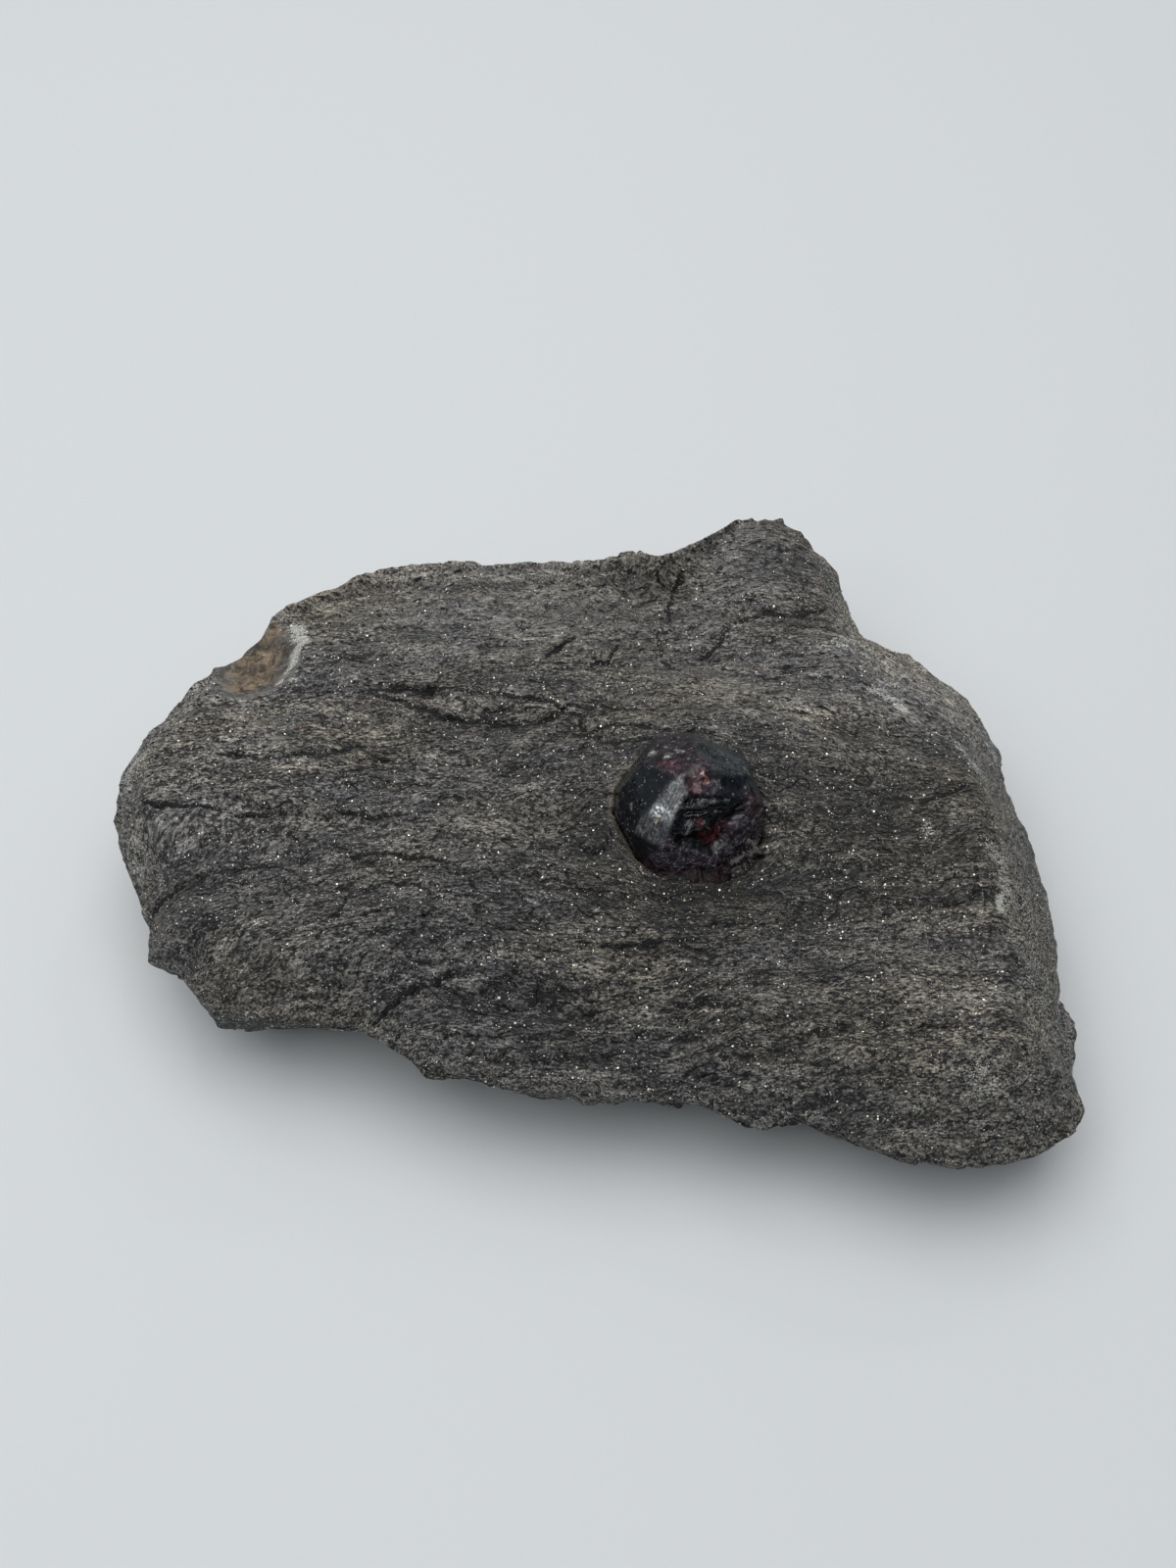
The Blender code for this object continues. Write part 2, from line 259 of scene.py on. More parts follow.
def add_sky():
    """Pale overhead, dark near the horizon, and an even pale grey where it is seen directly."""
    sky = bpy.data.worlds.new("sky")
    sky.use_nodes = True
    tree = sky.node_tree
    way = add_node(tree, "TexCoord", {}, "Generated")
    toward = add_node(tree, "VectorMath", {0: way, 1: SKY_TOWARD}, "Value", operation="DOT_PRODUCT")
    share = add_node(tree, "MapRange", {"Value": toward} | SKY_LIMITS, interpolation_type="SMOOTHSTEP")
    shine = mix_colour(share, SKY_LOW, SKY_ABOVE)
    seen = mix_colour(add_node(tree, "LightPath", {}, "Is Camera Ray"), shine, SKY_SEEN)
    set_inputs(tree.nodes["Background"], {"Strength": SKY_STRENGTH, "Color": seen})
    bpy.context.scene.world = sky


add_floor()
for panel in PANELS:
    add_panel(*panel)
add_sky()
bpy.context.scene.view_settings.view_transform = "Standard"
print("panels:", len(PANELS))

# %% [markdown]
# ## Noise that repeats
# Broken rock needs lumps at many sizes. Random numbers that are drawn in order would tie the shape to the
# number of points, so each lump comes from a fixed number at each corner of a lattice, found by mixing the
# corner's whole numbers. `lumps` blends the numbers themselves and gives the large forms that the solids
# have too. `ripples` blends slopes instead, which looks less square, and makes the finer relief. Each takes
# a place, the size of its lumps, which is one number or one for each axis, and a number of its own.

# %% Steps and ramps
def smooth_step(value):
    """0 below 0, 1 above 1, and an S-shaped rise between."""
    held = np.clip(value, 0.0, 1.0)
    return held * held * (3.0 - 2.0 * held)


def rising(value, start, width):
    """0 up to a start, then an S-shaped rise to 1 over a width."""
    return smooth_step((value - start) / width)


def falling(value, start, width):
    """1 up to a start, then an S-shaped fall to 0 over a width."""
    return 1.0 - rising(value, start, width)


def bell(distance, width):
    """1 at no distance, falling as a bell to about a third at the width."""
    return np.exp(-((distance / width) ** 2))


def soft_ramp(value, softness):
    """0 well below 0 and the value itself well above it, turning gently over the softness."""
    return softness * np.logaddexp(0.0, value / softness)


def terraces(field, sharpness):
    """The whole steps of a field, with a short riser between them: a stair in place of a slope."""
    level = np.floor(field)
    return level + smooth_step((field - level - 1.0 + sharpness) / sharpness)


# %% Lumps and ripples
SEED = 11
AXIS_MIXERS = (374761393, 668265263, 2147483647)
STIR, SHAKE = 1274126177, 1103515245
LOW_BITS, HALF_BITS = 0x7FFFFFFF, 0x3FFFFFFF
CORNERS = [(i, j, k) for i in (0, 1) for j in (0, 1) for k in (0, 1)]
OCTAVE_SHARE = 0.55
AXIS_STRIDE, OCTAVE_STRIDE = 101, 7


def lattice_value(corner, number):
    """A fixed number from -1 to 1 for each whole-numbered corner of a lattice."""
    mixed = sum(axis * mixer for axis, mixer in zip(corner, AXIS_MIXERS)) + (SEED + number) * STIR
    mixed = (mixed ^ (mixed >> 13)) * SHAKE & LOW_BITS
    mixed = (mixed ^ (mixed >> 16)) * STIR & LOW_BITS
    return mixed / HALF_BITS - 1.0


def lattice_cells(place, size):
    """Whole numbers below each place over the size, the way across its cell, and each corner's share."""
    sizes = size if isinstance(size, tuple) else (size,) * len(place)
    parts = [axis / one for axis, one in zip(place, sizes)]
    parts = np.broadcast_arrays(*parts, *[0.0] * (3 - len(parts)))
    low = [np.floor(axis).astype(np.int64) for axis in parts]
    across = [axis - base for axis, base in zip(parts, low)]
    eased = [smooth_step(way) for way in across]
    for corner in CORNERS:
        share = 1.0
        for way, side in zip(eased, corner):
            share = share * (way if side else 1.0 - way)
        yield share, [base + side for base, side in zip(low, corner)], across, corner


def lumps(place, size, number):
    """Smooth lumps a size apart, from -1 to 1: the corners' numbers, blended across each cell."""
    return sum(share * lattice_value(at, number) for share, at, _, _ in lattice_cells(place, size))


def ripples(place, size, number):
    """Lumps from slopes: each corner has a fixed slope, and adds that slope times the way from it."""
    total = 0.0
    for share, at, across, corner in lattice_cells(place, size):
        slopes = [lattice_value(at, number + AXIS_STRIDE * (axis + 1)) for axis in range(3)]
        total = total + share * sum(slope * (way - side) for slope, way, side in zip(slopes, across, corner))
    return total


def rough(place, size, octaves, number):
    """Ripples added at half the size and a little over half the height each time."""
    total = 0.0
    for octave in range(octaves):
        closer = [axis * 2.0**octave for axis in place]
        total = total + OCTAVE_SHARE**octave * ripples(closer, size, number + OCTAVE_STRIDE * octave)
    return total


# %% [markdown]
# ## The slab's form
# The real slab is a thick flake split along its layers, broken at every side. It could be carved from a
# block by cutters, or sculpted. A height over the plan is clearer: a closed rim is drawn by straight breaks
# between chosen points, the top is a gently falling sheet that rolls down to that rim, and the sides fall
# back under it. These are the solid's own dimensions in millimetres, so the finer surface lies where the
# solid does.

# %% The rim: plan x, plan y, height, and the width of the slope that leads down to it
RIGHT_EDGE = (
    (77.5, -45, 16, 15), (79, -36.5, 17, 14), (77.5, -33, 17, 14), (78, -20, 18, 13), (77, -6.5, 19, 12),
    (73.5, 5.5, 19.5, 10), (73, 15, 20, 11), (69, 25, 20.5, 16), (63.5, 30.5, 21, 19),
    (58.5, 35.5, 21, 15), (51.5, 38.5, 21.5, 8),
)
LOBE_EDGE = (
    (49.5, 43, 22, 8), (47.5, 51.5, 24, 7), (43, 56, 27, 6), (37.5, 60, 30, 5), (29, 56.5, 33, 5),
    (21.5, 50.5, 34, 5),
)
FAR_EDGE = (
    (14, 47.5, 33, 5), (9.5, 50, 32.5, 5), (2.5, 48, 32, 6), (-15.5, 47.5, 31.5, 7), (-30.5, 48.5, 31, 8),
    (-39.5, 46, 30, 8), (-48, 42, 29, 7), (-55, 38.5, 28, 5), (-60, 33, 26.5, 6), (-68, 25, 25, 7),
)
LEFT_EDGE = (
    (-76, 14.5, 23, 9), (-78.5, 6, 22, 9), (-78.5, -1, 21.5, 9), (-75.5, -8.5, 21, 9),
    (-71, -19, 20.5, 10), (-69.5, -27, 20, 10), (-64.5, -28.5, 20, 10), (-61.5, -32, 20, 11),
)
FRONT_EDGE = (
    (-57.5, -36.5, 20, 13), (-35.5, -38, 20, 18), (-24.5, -45, 19.5, 22), (-18.5, -46.5, 19.5, 24),
    (-8.5, -49, 19, 26), (4.5, -50, 19, 27), (19.5, -51, 18.5, 27), (28.5, -55, 18, 26),
    (34.5, -54, 18, 24), (51.5, -59.5, 17.5, 22), (61.5, -60.5, 17, 20), (70.5, -58.5, 16.5, 18),
    (76.5, -55, 16, 16), (79, -51, 16, 15),
)
RIM = np.array(RIGHT_EDGE + LOBE_EDGE + FAR_EDGE + LEFT_EDGE + FRONT_EDGE)
HEART = (0.0, -3.0)
RIM_WANDER = 3.0
RIM_STEP, RIM_RISER = 1.3, 0.85
RIM_WANDER_REACH = 3.5
print("rim points:", len(RIM))


def rim_at(bearing):
    """Radius, height and slope width of the rim at each bearing from the heart, straight between points."""
    dx, dy = RIM[:, 0] - HEART[0], RIM[:, 1] - HEART[1]
    angles = np.arctan2(dy, dx)
    order = np.argsort(angles)
    table = np.column_stack([angles, np.hypot(dx, dy), RIM[:, 2:]])[order]
    angles, radii, heights, widths = np.vstack([table, table[0] + (2.0 * math.pi, 0.0, 0.0, 0.0)]).T
    bearing = np.mod(bearing - angles[0], 2.0 * math.pi) + angles[0]
    after = np.clip(np.searchsorted(angles, bearing, side="right"), 1, len(angles) - 1)
    before = after - 1
    to_next = np.sin(angles[after] - bearing)
    to_last = np.sin(bearing - angles[before])
    span = np.sin(angles[after] - angles[before])
    radius = radii[before] * radii[after] * span / (radii[before] * to_last + radii[after] * to_next)
    share = radius * to_last / (radii[after] * span)
    height, width = (part[before] + (part[after] - part[before]) * share for part in (heights, widths))
    return radius, height, width


def rim_wander(bearing):
    """How far the broken rim lies above its mean height: it jumps from layer to layer along the edge."""
    radius = rim_at(bearing)[0]
    wander = rough((radius * np.cos(bearing), radius * np.sin(bearing)), 15, 2, 15)
    return RIM_STEP * terraces(RIM_WANDER / RIM_STEP * wander, RIM_RISER)


# %% The top's large forms
SLOPE_ROUNDNESS = 1.6
TOP_HEIGHT = 32.0
FAR_FALL, FAR_FALL_STARTS = 0.13, 8.0
LEFT_FALL, LEFT_FALL_STARTS = 0.10, 40.0
FALL_SOFTNESS = 5.0
# Swells: middle in plan, half widths, height
SWELLS = (
    (33, 54, 15, 11, 6.5), (28, 27, 22, 7, -1.8), (12, -1, 15, 13, 0.9), (-25, -18, 26, 12, 0.8),
    (55, -30, 14, 16, -1.2), (-52, 8, 14, 9, 0.9),
)
# Ledges: x from and to, y at each end, height, and how far in front it heals
LEDGES = (
    (-30, 10, 22, 8.5, 1.3, 12), (-30, -4, 14, 14.5, 0.9, 9), (-74, -30, 1.5, -6.5, 1.2, 12),
    (-58, 6, -30, -37, 1.3, 10), (14, 62, -26, -22, 0.9, 11), (22, 74, -45, -42, 1.2, 9),
)
LEDGE_FADE, LEDGE_RISER = 6.0, 1.2
LEDGE_WANDER, LEDGE_FRAY = 1.6, 0.5
# Groove: both ends in plan, half width, depth, and how much of the depth is lost by its far end
GROOVE = ((19.0, 48.0), (14.5, 32.0), 1.4, 1.4, 0.6)
SCAR_MIDDLE = (-58.2, 29.8)
SCAR_FLOOR = 22.8
SCAR_HALF_WIDTHS = (10.2, 10.6)
SCAR_RISE = 6.0
TOP_LUMP_SIZES, TOP_LUMP_HEIGHT, TOP_LUMP_SQUEEZE = (26.0, 13.0), 0.9, 1.8


def ledges_at(x, y):
    """How far the top lies below the layers that flaked away: a sharp drop at each line, healed in front."""
    drop = np.zeros(np.shape(x))
    for x_from, x_to, y_from, y_to, height, reach in LEDGES:
        share = np.clip((x - x_from) / (x_to - x_from), 0.0, 1.0)
        line = y_from + (y_to - y_from) * share + LEDGE_WANDER * lumps((x,), 9, 5)
        behind = line + LEDGE_FRAY * ripples((x, y), 2.5, 6) - y
        ends = rising(x, x_from, LEDGE_FADE) * rising(x_to, x, LEDGE_FADE)
        drop += height * ends * smooth_step(behind / LEDGE_RISER) * (1.0 - smooth_step(behind / reach))
    return drop


def line_distance(x, y, start, end):
    """Distance in plan from a straight line between two points, and how far along it the nearest place is."""
    along = np.array(end) - np.array(start)
    share = ((x - start[0]) * along[0] + (y - start[1]) * along[1]) / (along @ along)
    share = np.clip(share, 0.0, 1.0)
    return np.hypot(x - start[0] - share * along[0], y - start[1] - share * along[1]), share


def groove_at(x, y):
    """Depth of the groove on the lobe's left flank, by the distance from its line."""
    start, end, half_width, depth, lost = GROOVE
    distance, share = line_distance(x, y, start, end)
    return depth * (1.0 - smooth_step(distance / half_width)) * (1.0 - lost * share)


def soft_spots(x, y, spots):
    """Gives each spot's strength, which fades as a bell over its half widths from its middle."""
    for middle_x, middle_y, half_x, half_y, strength in spots:
        yield strength * np.exp(-(((x - middle_x) / half_x) ** 2) - ((y - middle_y) / half_y) ** 2)


def sheet_height(x, y):
    """The top away from the rim: level, falling gently to the far and left, with swells, lumps and ledges."""
    sheet = TOP_HEIGHT - FAR_FALL * soft_ramp(y - FAR_FALL_STARTS, FALL_SOFTNESS)
    sheet = sheet - LEFT_FALL * soft_ramp(-x - LEFT_FALL_STARTS, FALL_SOFTNESS)
    sheet = sum(soft_spots(x, y, SWELLS), sheet)
    for order, size in enumerate(TOP_LUMP_SIZES):
        sheet = sheet + TOP_LUMP_HEIGHT / (1 + order) * lumps((x, TOP_LUMP_SQUEEZE * y), size, order)
    return sheet - ledges_at(x, y) - groove_at(x, y)


def scar_bowl(x, y):
    """The bowl that cuts the scar: its height rises with the square of the distance from its middle."""
    across = (x - SCAR_MIDDLE[0]) / SCAR_HALF_WIDTHS[0]
    along = (y - SCAR_MIDDLE[1]) / SCAR_HALF_WIDTHS[1]
    return SCAR_FLOOR + SCAR_RISE * (across**2 + along**2)


# %% [markdown]
# ## The crystal's faces
# A garnet grows as a block of many flat faces. Each face is the same few numbers as on the solid: the
# bearing and the rise of its outward direction, and its distance from the middle. A fourth value names its
# finish, because on this worn crystal one face is a dark mirror, the next is silvery, and one is a deep
# break. A shell is lost from the near side: more faces cut the crystal back there, while the socket keeps
# the older outline.

# %% Faces: bearing, rise, distance, finish
CRYSTAL_MIDDLE = np.array((18.0, -7.2, 33.8))
CRYSTAL_FACES = (
    (-158, 54, 11.3, "dark_mirror"), (-125, 55, 11.15, "silver"), (126, 69, 11.3, "plum"),
    (36, 59, 11, "slate"), (-21, 38, 11.5, "violet"), (-87, 44, 11, "broken"), (-57, 70, 11.2, "violet"),
    (-84, 9, 10.9, "lilac_grey"), (-163, 26, 11.4, "speckled"), (-127, 10, 11.3, "speckled"),
    (-50, 12, 11.1, "lilac_grey"), (152, 24, 11.5, "speckled"), (98, 38, 12.4, "plum"),
    (59, 38, 11.1, "slate"), (15, 19, 11.2, "slate"), (-4, 1, 11.6, "violet"), (179, 9, 11.9, "speckled"),
    (-157, -10, 11.2, "speckled"), (118, -8, 11.8, "plum"), (70, -14, 11.8, "slate"),
    (30, -30, 11.8, "violet"), (-40, -38, 11.6, "violet"), (-95, -30, 11.8, "violet"),
    (-140, -45, 11.6, "speckled"), (150, -42, 11.7, "speckled"), (90, -55, 11.8, "slate"),
    (0, -85, 11.4, "violet"),
)
LOST_SHELL = (
    (-84, 9, 9.4, "lilac_grey"), (-50, 12, 8.8, "lilac_grey"), (-128, 30, 11.35, "ledge"),
    (-20, 47, 11.1, "violet"), (-35, 58, 10.9, "violet"),
)
ROCK_MEETS = CRYSTAL_FACES + ((-84, 9, 10.1, "shell"), (-50, 12, 9.7, "shell"))


def direction_of(bearing, rise):
    """The direction, a vector of length one, at a bearing and a rise in degrees."""
    turn, lift = np.radians(bearing), np.radians(rise)
    return np.stack([np.cos(lift) * np.cos(turn), np.cos(lift) * np.sin(turn), np.sin(lift)], axis=-1)


def face_directions(faces):
    """Each face's outward direction, and its distance."""
    bearing, rise, distance = np.array([face[:3] for face in faces]).T
    return direction_of(bearing, rise), distance


FACE_OUT, FACE_DISTANCE = face_directions(ROCK_MEETS)
MEAN_REACH = FACE_DISTANCE.mean()
FACES_DOWN = -0.05


def beyond_crystal(points):
    """How far each point lies outside the crystal, and below 0 inside: its worst face decides."""
    reach = (points - CRYSTAL_MIDDLE) @ FACE_OUT.T / FACE_DISTANCE
    return (reach.max(axis=1) - 1.0) * MEAN_REACH


def crystal_underside(x, y):
    """Height of the crystal's lower skin over the plan, the highest of the planes that face down."""
    down = FACE_OUT[:, 2] < FACES_DOWN
    out_x, out_y, out_z = FACE_OUT[down].T
    across = np.outer(x - CRYSTAL_MIDDLE[0], out_x) + np.outer(y - CRYSTAL_MIDDLE[1], out_y)
    return ((FACE_DISTANCE[down] - across) / out_z).max(axis=1) + CRYSTAL_MIDDLE[2]


# %% [markdown]
# ## Fine relief of the schist
# Mica schist splits along wavy sheets and carries a lineation, here along the slab's length, which bends
# round the crystal because the rock flowed round it while the crystal grew. A warped y, constant along each
# line of the lineation, carries the streaks: relief worked out from it runs with them. Flaked terraces,
# fine wrinkles and open cracks follow. The crystal's socket is the crystal's own underside, moved down by
# the gap.

# %% The lineation
WRAP_RADIUS, WRAP_SHARE = 10.0, 0.75
RIGHT_TURN, RIGHT_TURN_STARTS, RIGHT_TURN_SOFTNESS = 0.45, 46.0, 5.0
LEFT_TURN, LEFT_TURN_STARTS, LEFT_TURN_SOFTNESS = 0.16, 22.0, 8.0
TURN_BAND, RIGHT_TURN_FROM = 16.0, -6.0
# Waves: height, length and width, number
WAVES = ((2.6, (40, 24), 30), (1.3, (14, 9), 31), (0.45, (6, 4.5), 32))


def along_lineation(x, y):
    """y made constant along the lineation: bent round the crystal, waved, and turned down at the right."""
    from_x, from_y = x - CRYSTAL_MIDDLE[0], y - CRYSTAL_MIDDLE[1]
    apart = np.maximum(from_x**2 + from_y**2, WRAP_RADIUS**2)
    bent = y - WRAP_SHARE * from_y * WRAP_RADIUS**2 / apart
    for height, size, number in WAVES:
        bent = bent + height * ripples((x, y), size, number)
    right = soft_ramp(x - RIGHT_TURN_STARTS, RIGHT_TURN_SOFTNESS) * rising(y, RIGHT_TURN_FROM, TURN_BAND)
    left = soft_ramp(-x - LEFT_TURN_STARTS, LEFT_TURN_SOFTNESS) * rising(-y, 0, TURN_BAND)
    return bent + RIGHT_TURN * right + LEFT_TURN * left


# %% Cracks, traced in plan: depth, then the points of the line
CRACKS = (
    (0.55, ((-36.6, 20), (-30.6, 20.7), (-21.7, 20.7), (-12.3, 18.8), (-5.5, 17.3),
            (-0.6, 14.2), (0.8, 11.8))),
    (0.35, ((-1.1, 15.9), (2.8, 15.9), (9.1, 15.3))),
    (0.6, ((-36.6, 19.5), (-29, 17.7), (-23.5, 15), (-13.7, 13.4), (-9.9, 13), (-4, 14.4))),
    (0.5, ((-2.6, 10.9), (3.3, 8.9), (5.6, 7.7), (10.5, 8.3))),
    (0.3, ((2.8, 10.6), (8, 11), (14.3, 10.4))), (0.45, ((-5.2, 29), (-3.6, 30.9), (-1.9, 32.2))),
    (0.45, ((3, 26.8), (4.9, 27.5), (6.6, 30.9))),
    (0.6, ((17.8, 46), (16.8, 44.6), (17, 43), (15.8, 41.6), (15.9, 40.2))),
    (0.3, ((10.9, 42.3), (13, 43.2))), (0.3, ((14, 33.1), (14.4, 28.9), (16.3, 27))),
    (0.35, ((22.3, 30.2), (24.4, 31.8), (25.5, 33.7))),
    (0.4, ((29.2, 37.2), (32.9, 39.2), (37.5, 38.5), (42.8, 39.9))),
    (0.6, ((-71.9, -1.4), (-63.4, -2.4), (-57.1, -3.6), (-54.4, -4.7), (-51.4, -4.1))),
    (0.55, ((-38.8, -5.2), (-34.4, -6.5), (-28.1, -6.7))),
    (0.45, ((-58.9, 6.5), (-49.4, 5.7), (-45.3, 6.5))),
    (0.35, ((-41.8, 5.9), (-36.8, 7.9), (-33.5, 5.1), (-28.8, 5.1))),
    (0.35, ((-36, -14.7), (-29, -14.9), (-22.5, -16))),
    (0.3, ((-56.5, -15.9), (-49.5, -15.7), (-43.4, -15.3))), (0.4, ((-68.3, -18.8), (-61, -16.8))),
    (0.15, ((-37.3, -25.1), (-35.5, -21.4), (-27.3, -20), (-22.7, -21.4), (-16.5, -22.5))),
    (0.6, ((5.2, -30.1), (12.8, -30.5), (17.1, -29.8))), (0.5, ((17, -30.8), (20.4, -31.7))),
    (0.5, ((-31.7, -37.8), (-25, -35.2), (-19.7, -34.1))), (0.4, ((15.6, -38.4), (22.6, -39.5))),
    (0.3, ((50, -3.4), (57, -3.8), (61.9, -1.3))), (0.4, ((27, -21.1), (31.5, -21.1), (34.1, -23))),
)
CRACK_GROUPS = 3
CRACK_GROUP_GAP = 7.0
CRACK_DEPTH = 0.35
CRACK_HEALS_OVER, CRACK_END, CRACK_SPREAD = 2.6, 1.3, 2.0
CRACK_LIP, CRACK_LINE, CRACK_REACH, CRACK_HALF_WIDTH = 0.5, 0.45, 5.0, 0.5
JAG_SIZE, FINE_JAG = (2.6, 2.6, 1), 0.3
FAR_OFF = 1e3


def group_cracks():
    """Shares the cracks out over a few groups, each into the first group where no crack lies near it."""
    groups = [[] for _ in range(CRACK_GROUPS)]
    for depth, line in CRACKS:
        points = np.array(line)[:, None]
        room = []
        for group in groups:
            gaps = [np.linalg.norm(points - np.array(other), axis=2).min() for _, other in group]
            room.append(min(gaps, default=FAR_OFF))
        free = [index for index, gap in enumerate(room) if gap > CRACK_GROUP_GAP]
        groups[free[0] if free else int(np.argmax(room))].append((depth, line))
    return groups


def crack_side(x, y, cracks):
    """Signed distance from the nearest crack, above 0 on the viewer's side, plain distance, and its depth."""
    shift_x, shift_y = (
        ripples((x, y, level), JAG_SIZE, number) + FINE_JAG * ripples((x, y, level), 1, number + 2)
        for level, number in ((0.0, 40), (5.0, 41))
    )
    x, y = x + shift_x, y + shift_y
    side = nearest = np.full(np.shape(x), FAR_OFF)
    depth_here = np.zeros(np.shape(x))
    for depth, line in cracks:
        for start, end in zip(line[:-1], line[1:]):
            distance, _ = line_distance(x, y, start, end)
            way = np.array(end) - np.array(start)
            way = way / np.linalg.norm(way)
            closer = distance < nearest
            nearest = np.where(closer, distance, nearest)
            side = np.where(closer, (x - start[0]) * way[1] - (y - start[1]) * way[0], side)
            depth_here = np.where(closer, depth, depth_here)
    return side, nearest, depth_here


def cracks_at(x, y):
    """Depth below the cracks' upper lips, and each group's signed distance and strength of its lines."""
    drop = np.zeros(np.shape(x))
    lines = []
    for cracks in group_cracks():
        side, nearest, depth = crack_side(x, y, cracks)
        healed = np.exp(-nearest / CRACK_HEALS_OVER) * smooth_step(0.5 + side / CRACK_LIP)
        drop = np.maximum(drop, depth * healed)
        past_end = np.sqrt(np.maximum(nearest**2 - side**2, 0.0))
        strength = (CRACK_LINE + depth) * bell(past_end, CRACK_END) * bell(side, CRACK_SPREAD)
        side = np.clip(side, -CRACK_REACH, CRACK_REACH)
        lines.append(np.column_stack([side, np.clip(strength, 0.0, 1.0)]))
    return drop, np.hstack(lines)


# %% Terraces and scales
TERRACE_STEP, TERRACE_RISER, TERRACE_COUNT = 0.50, 0.3, 3.0
SCALE_SPACING, SCALE_HEIGHT, SCALE_RISER = 2.3, 0.40, 0.24
WRINKLE_HEIGHT = 0.40
SCALE_BENDS, FINE_SCALE_BENDS = (2.3, (8, 6.5), 53), (1.3, (3.4, 3), 54)
FAINTEST, PATCHINESS = 0.35, 1.3


def scale_count(x, across):
    """Counts the overlapping scales across the lineation: even lines, bent by two sizes of ripples."""
    count = across / SCALE_SPACING
    for amount, size, number in (SCALE_BENDS, FINE_SCALE_BENDS):
        count = count + amount * ripples((x, across), size, number)
    return count


def scale_lift(count):
    """Height of a scale, from 0 to 1: it rises at its front edge, then falls evenly to the next."""
    part = count - np.floor(count)
    return np.minimum(smooth_step(part / SCALE_RISER), (1.0 - part) / (1.0 - SCALE_RISER))


def split_relief(x, lined, count):
    """Relief of a split sheet: terraces of flaked layers, overlapping scales, and wrinkles along them."""
    flakes = terraces(TERRACE_COUNT * rough((x, lined), (17, 5), 3, 50), TERRACE_RISER)
    patchy = FAINTEST + PATCHINESS * smooth_step(0.5 + 1.4 * ripples((x, lined), (13, 8), 55))
    scales = SCALE_HEIGHT * patchy * (scale_lift(count) - 0.5)
    return TERRACE_STEP * flakes + scales + WRINKLE_HEIGHT * rough((x, lined), (6, 2.2), 3, 51)


# %% The whole top
# Where each rise or fall starts, and over what width
RIDGE_X = (38, 16)
RIGHT_FACE_X, RIGHT_FACE_Y, RIGHT_FACE_TOP = (40, 12), (-62, 30), (0.75, 0.22)
LEFT_FACE_X, LEFT_FACE_TOP = (60, 10), (0.6, 0.35)
BEDS_SHOW = (0.55, 0.4)
# Amounts
RIDGE_SHARPENED = 0.40
END_FACE_UNSPLIT, RIM_SPLIT, RIM_SPLIT_WIDTH = 0.75, 0.45, 5.0
BED_EDGE, BED_EDGE_WAVE, BED_EDGE_RISER, BED_SHARE = 1.7, 0.7, 0.45, 0.75
BOWL_UNEVEN, SCAR_BORDER = 0.12, 0.6
SOCKET_GAP, CONTACT = 0.3, 0.15
TOP_LEVEL_SHARE, LEVEL_FROM = 0.3, 27.0
MOAT_DEPTH, MOAT_WIDTH, MOAT_FAR, MOAT_NEAR = 0.7, 0.42, 0.25, 0.7
# The moat is deeper between these bearings
MOAT_BEARINGS, MOAT_FADE = (-175.0, -20.0), 30.0
SEAM_BEARING, SEAM_HALF_TURN, SEAM_OUT, SEAM_WIDTH = 175.0, 60.0, 0.3, 0.35


def moat_share(bearing):
    """How deep the moat is by bearing in degrees: all round a little, and more between its two bearings."""
    start, end = (smooth_step((bearing - one) / MOAT_FADE + 0.5) for one in MOAT_BEARINGS)
    return MOAT_FAR + MOAT_NEAR * (start * (1.0 - end))


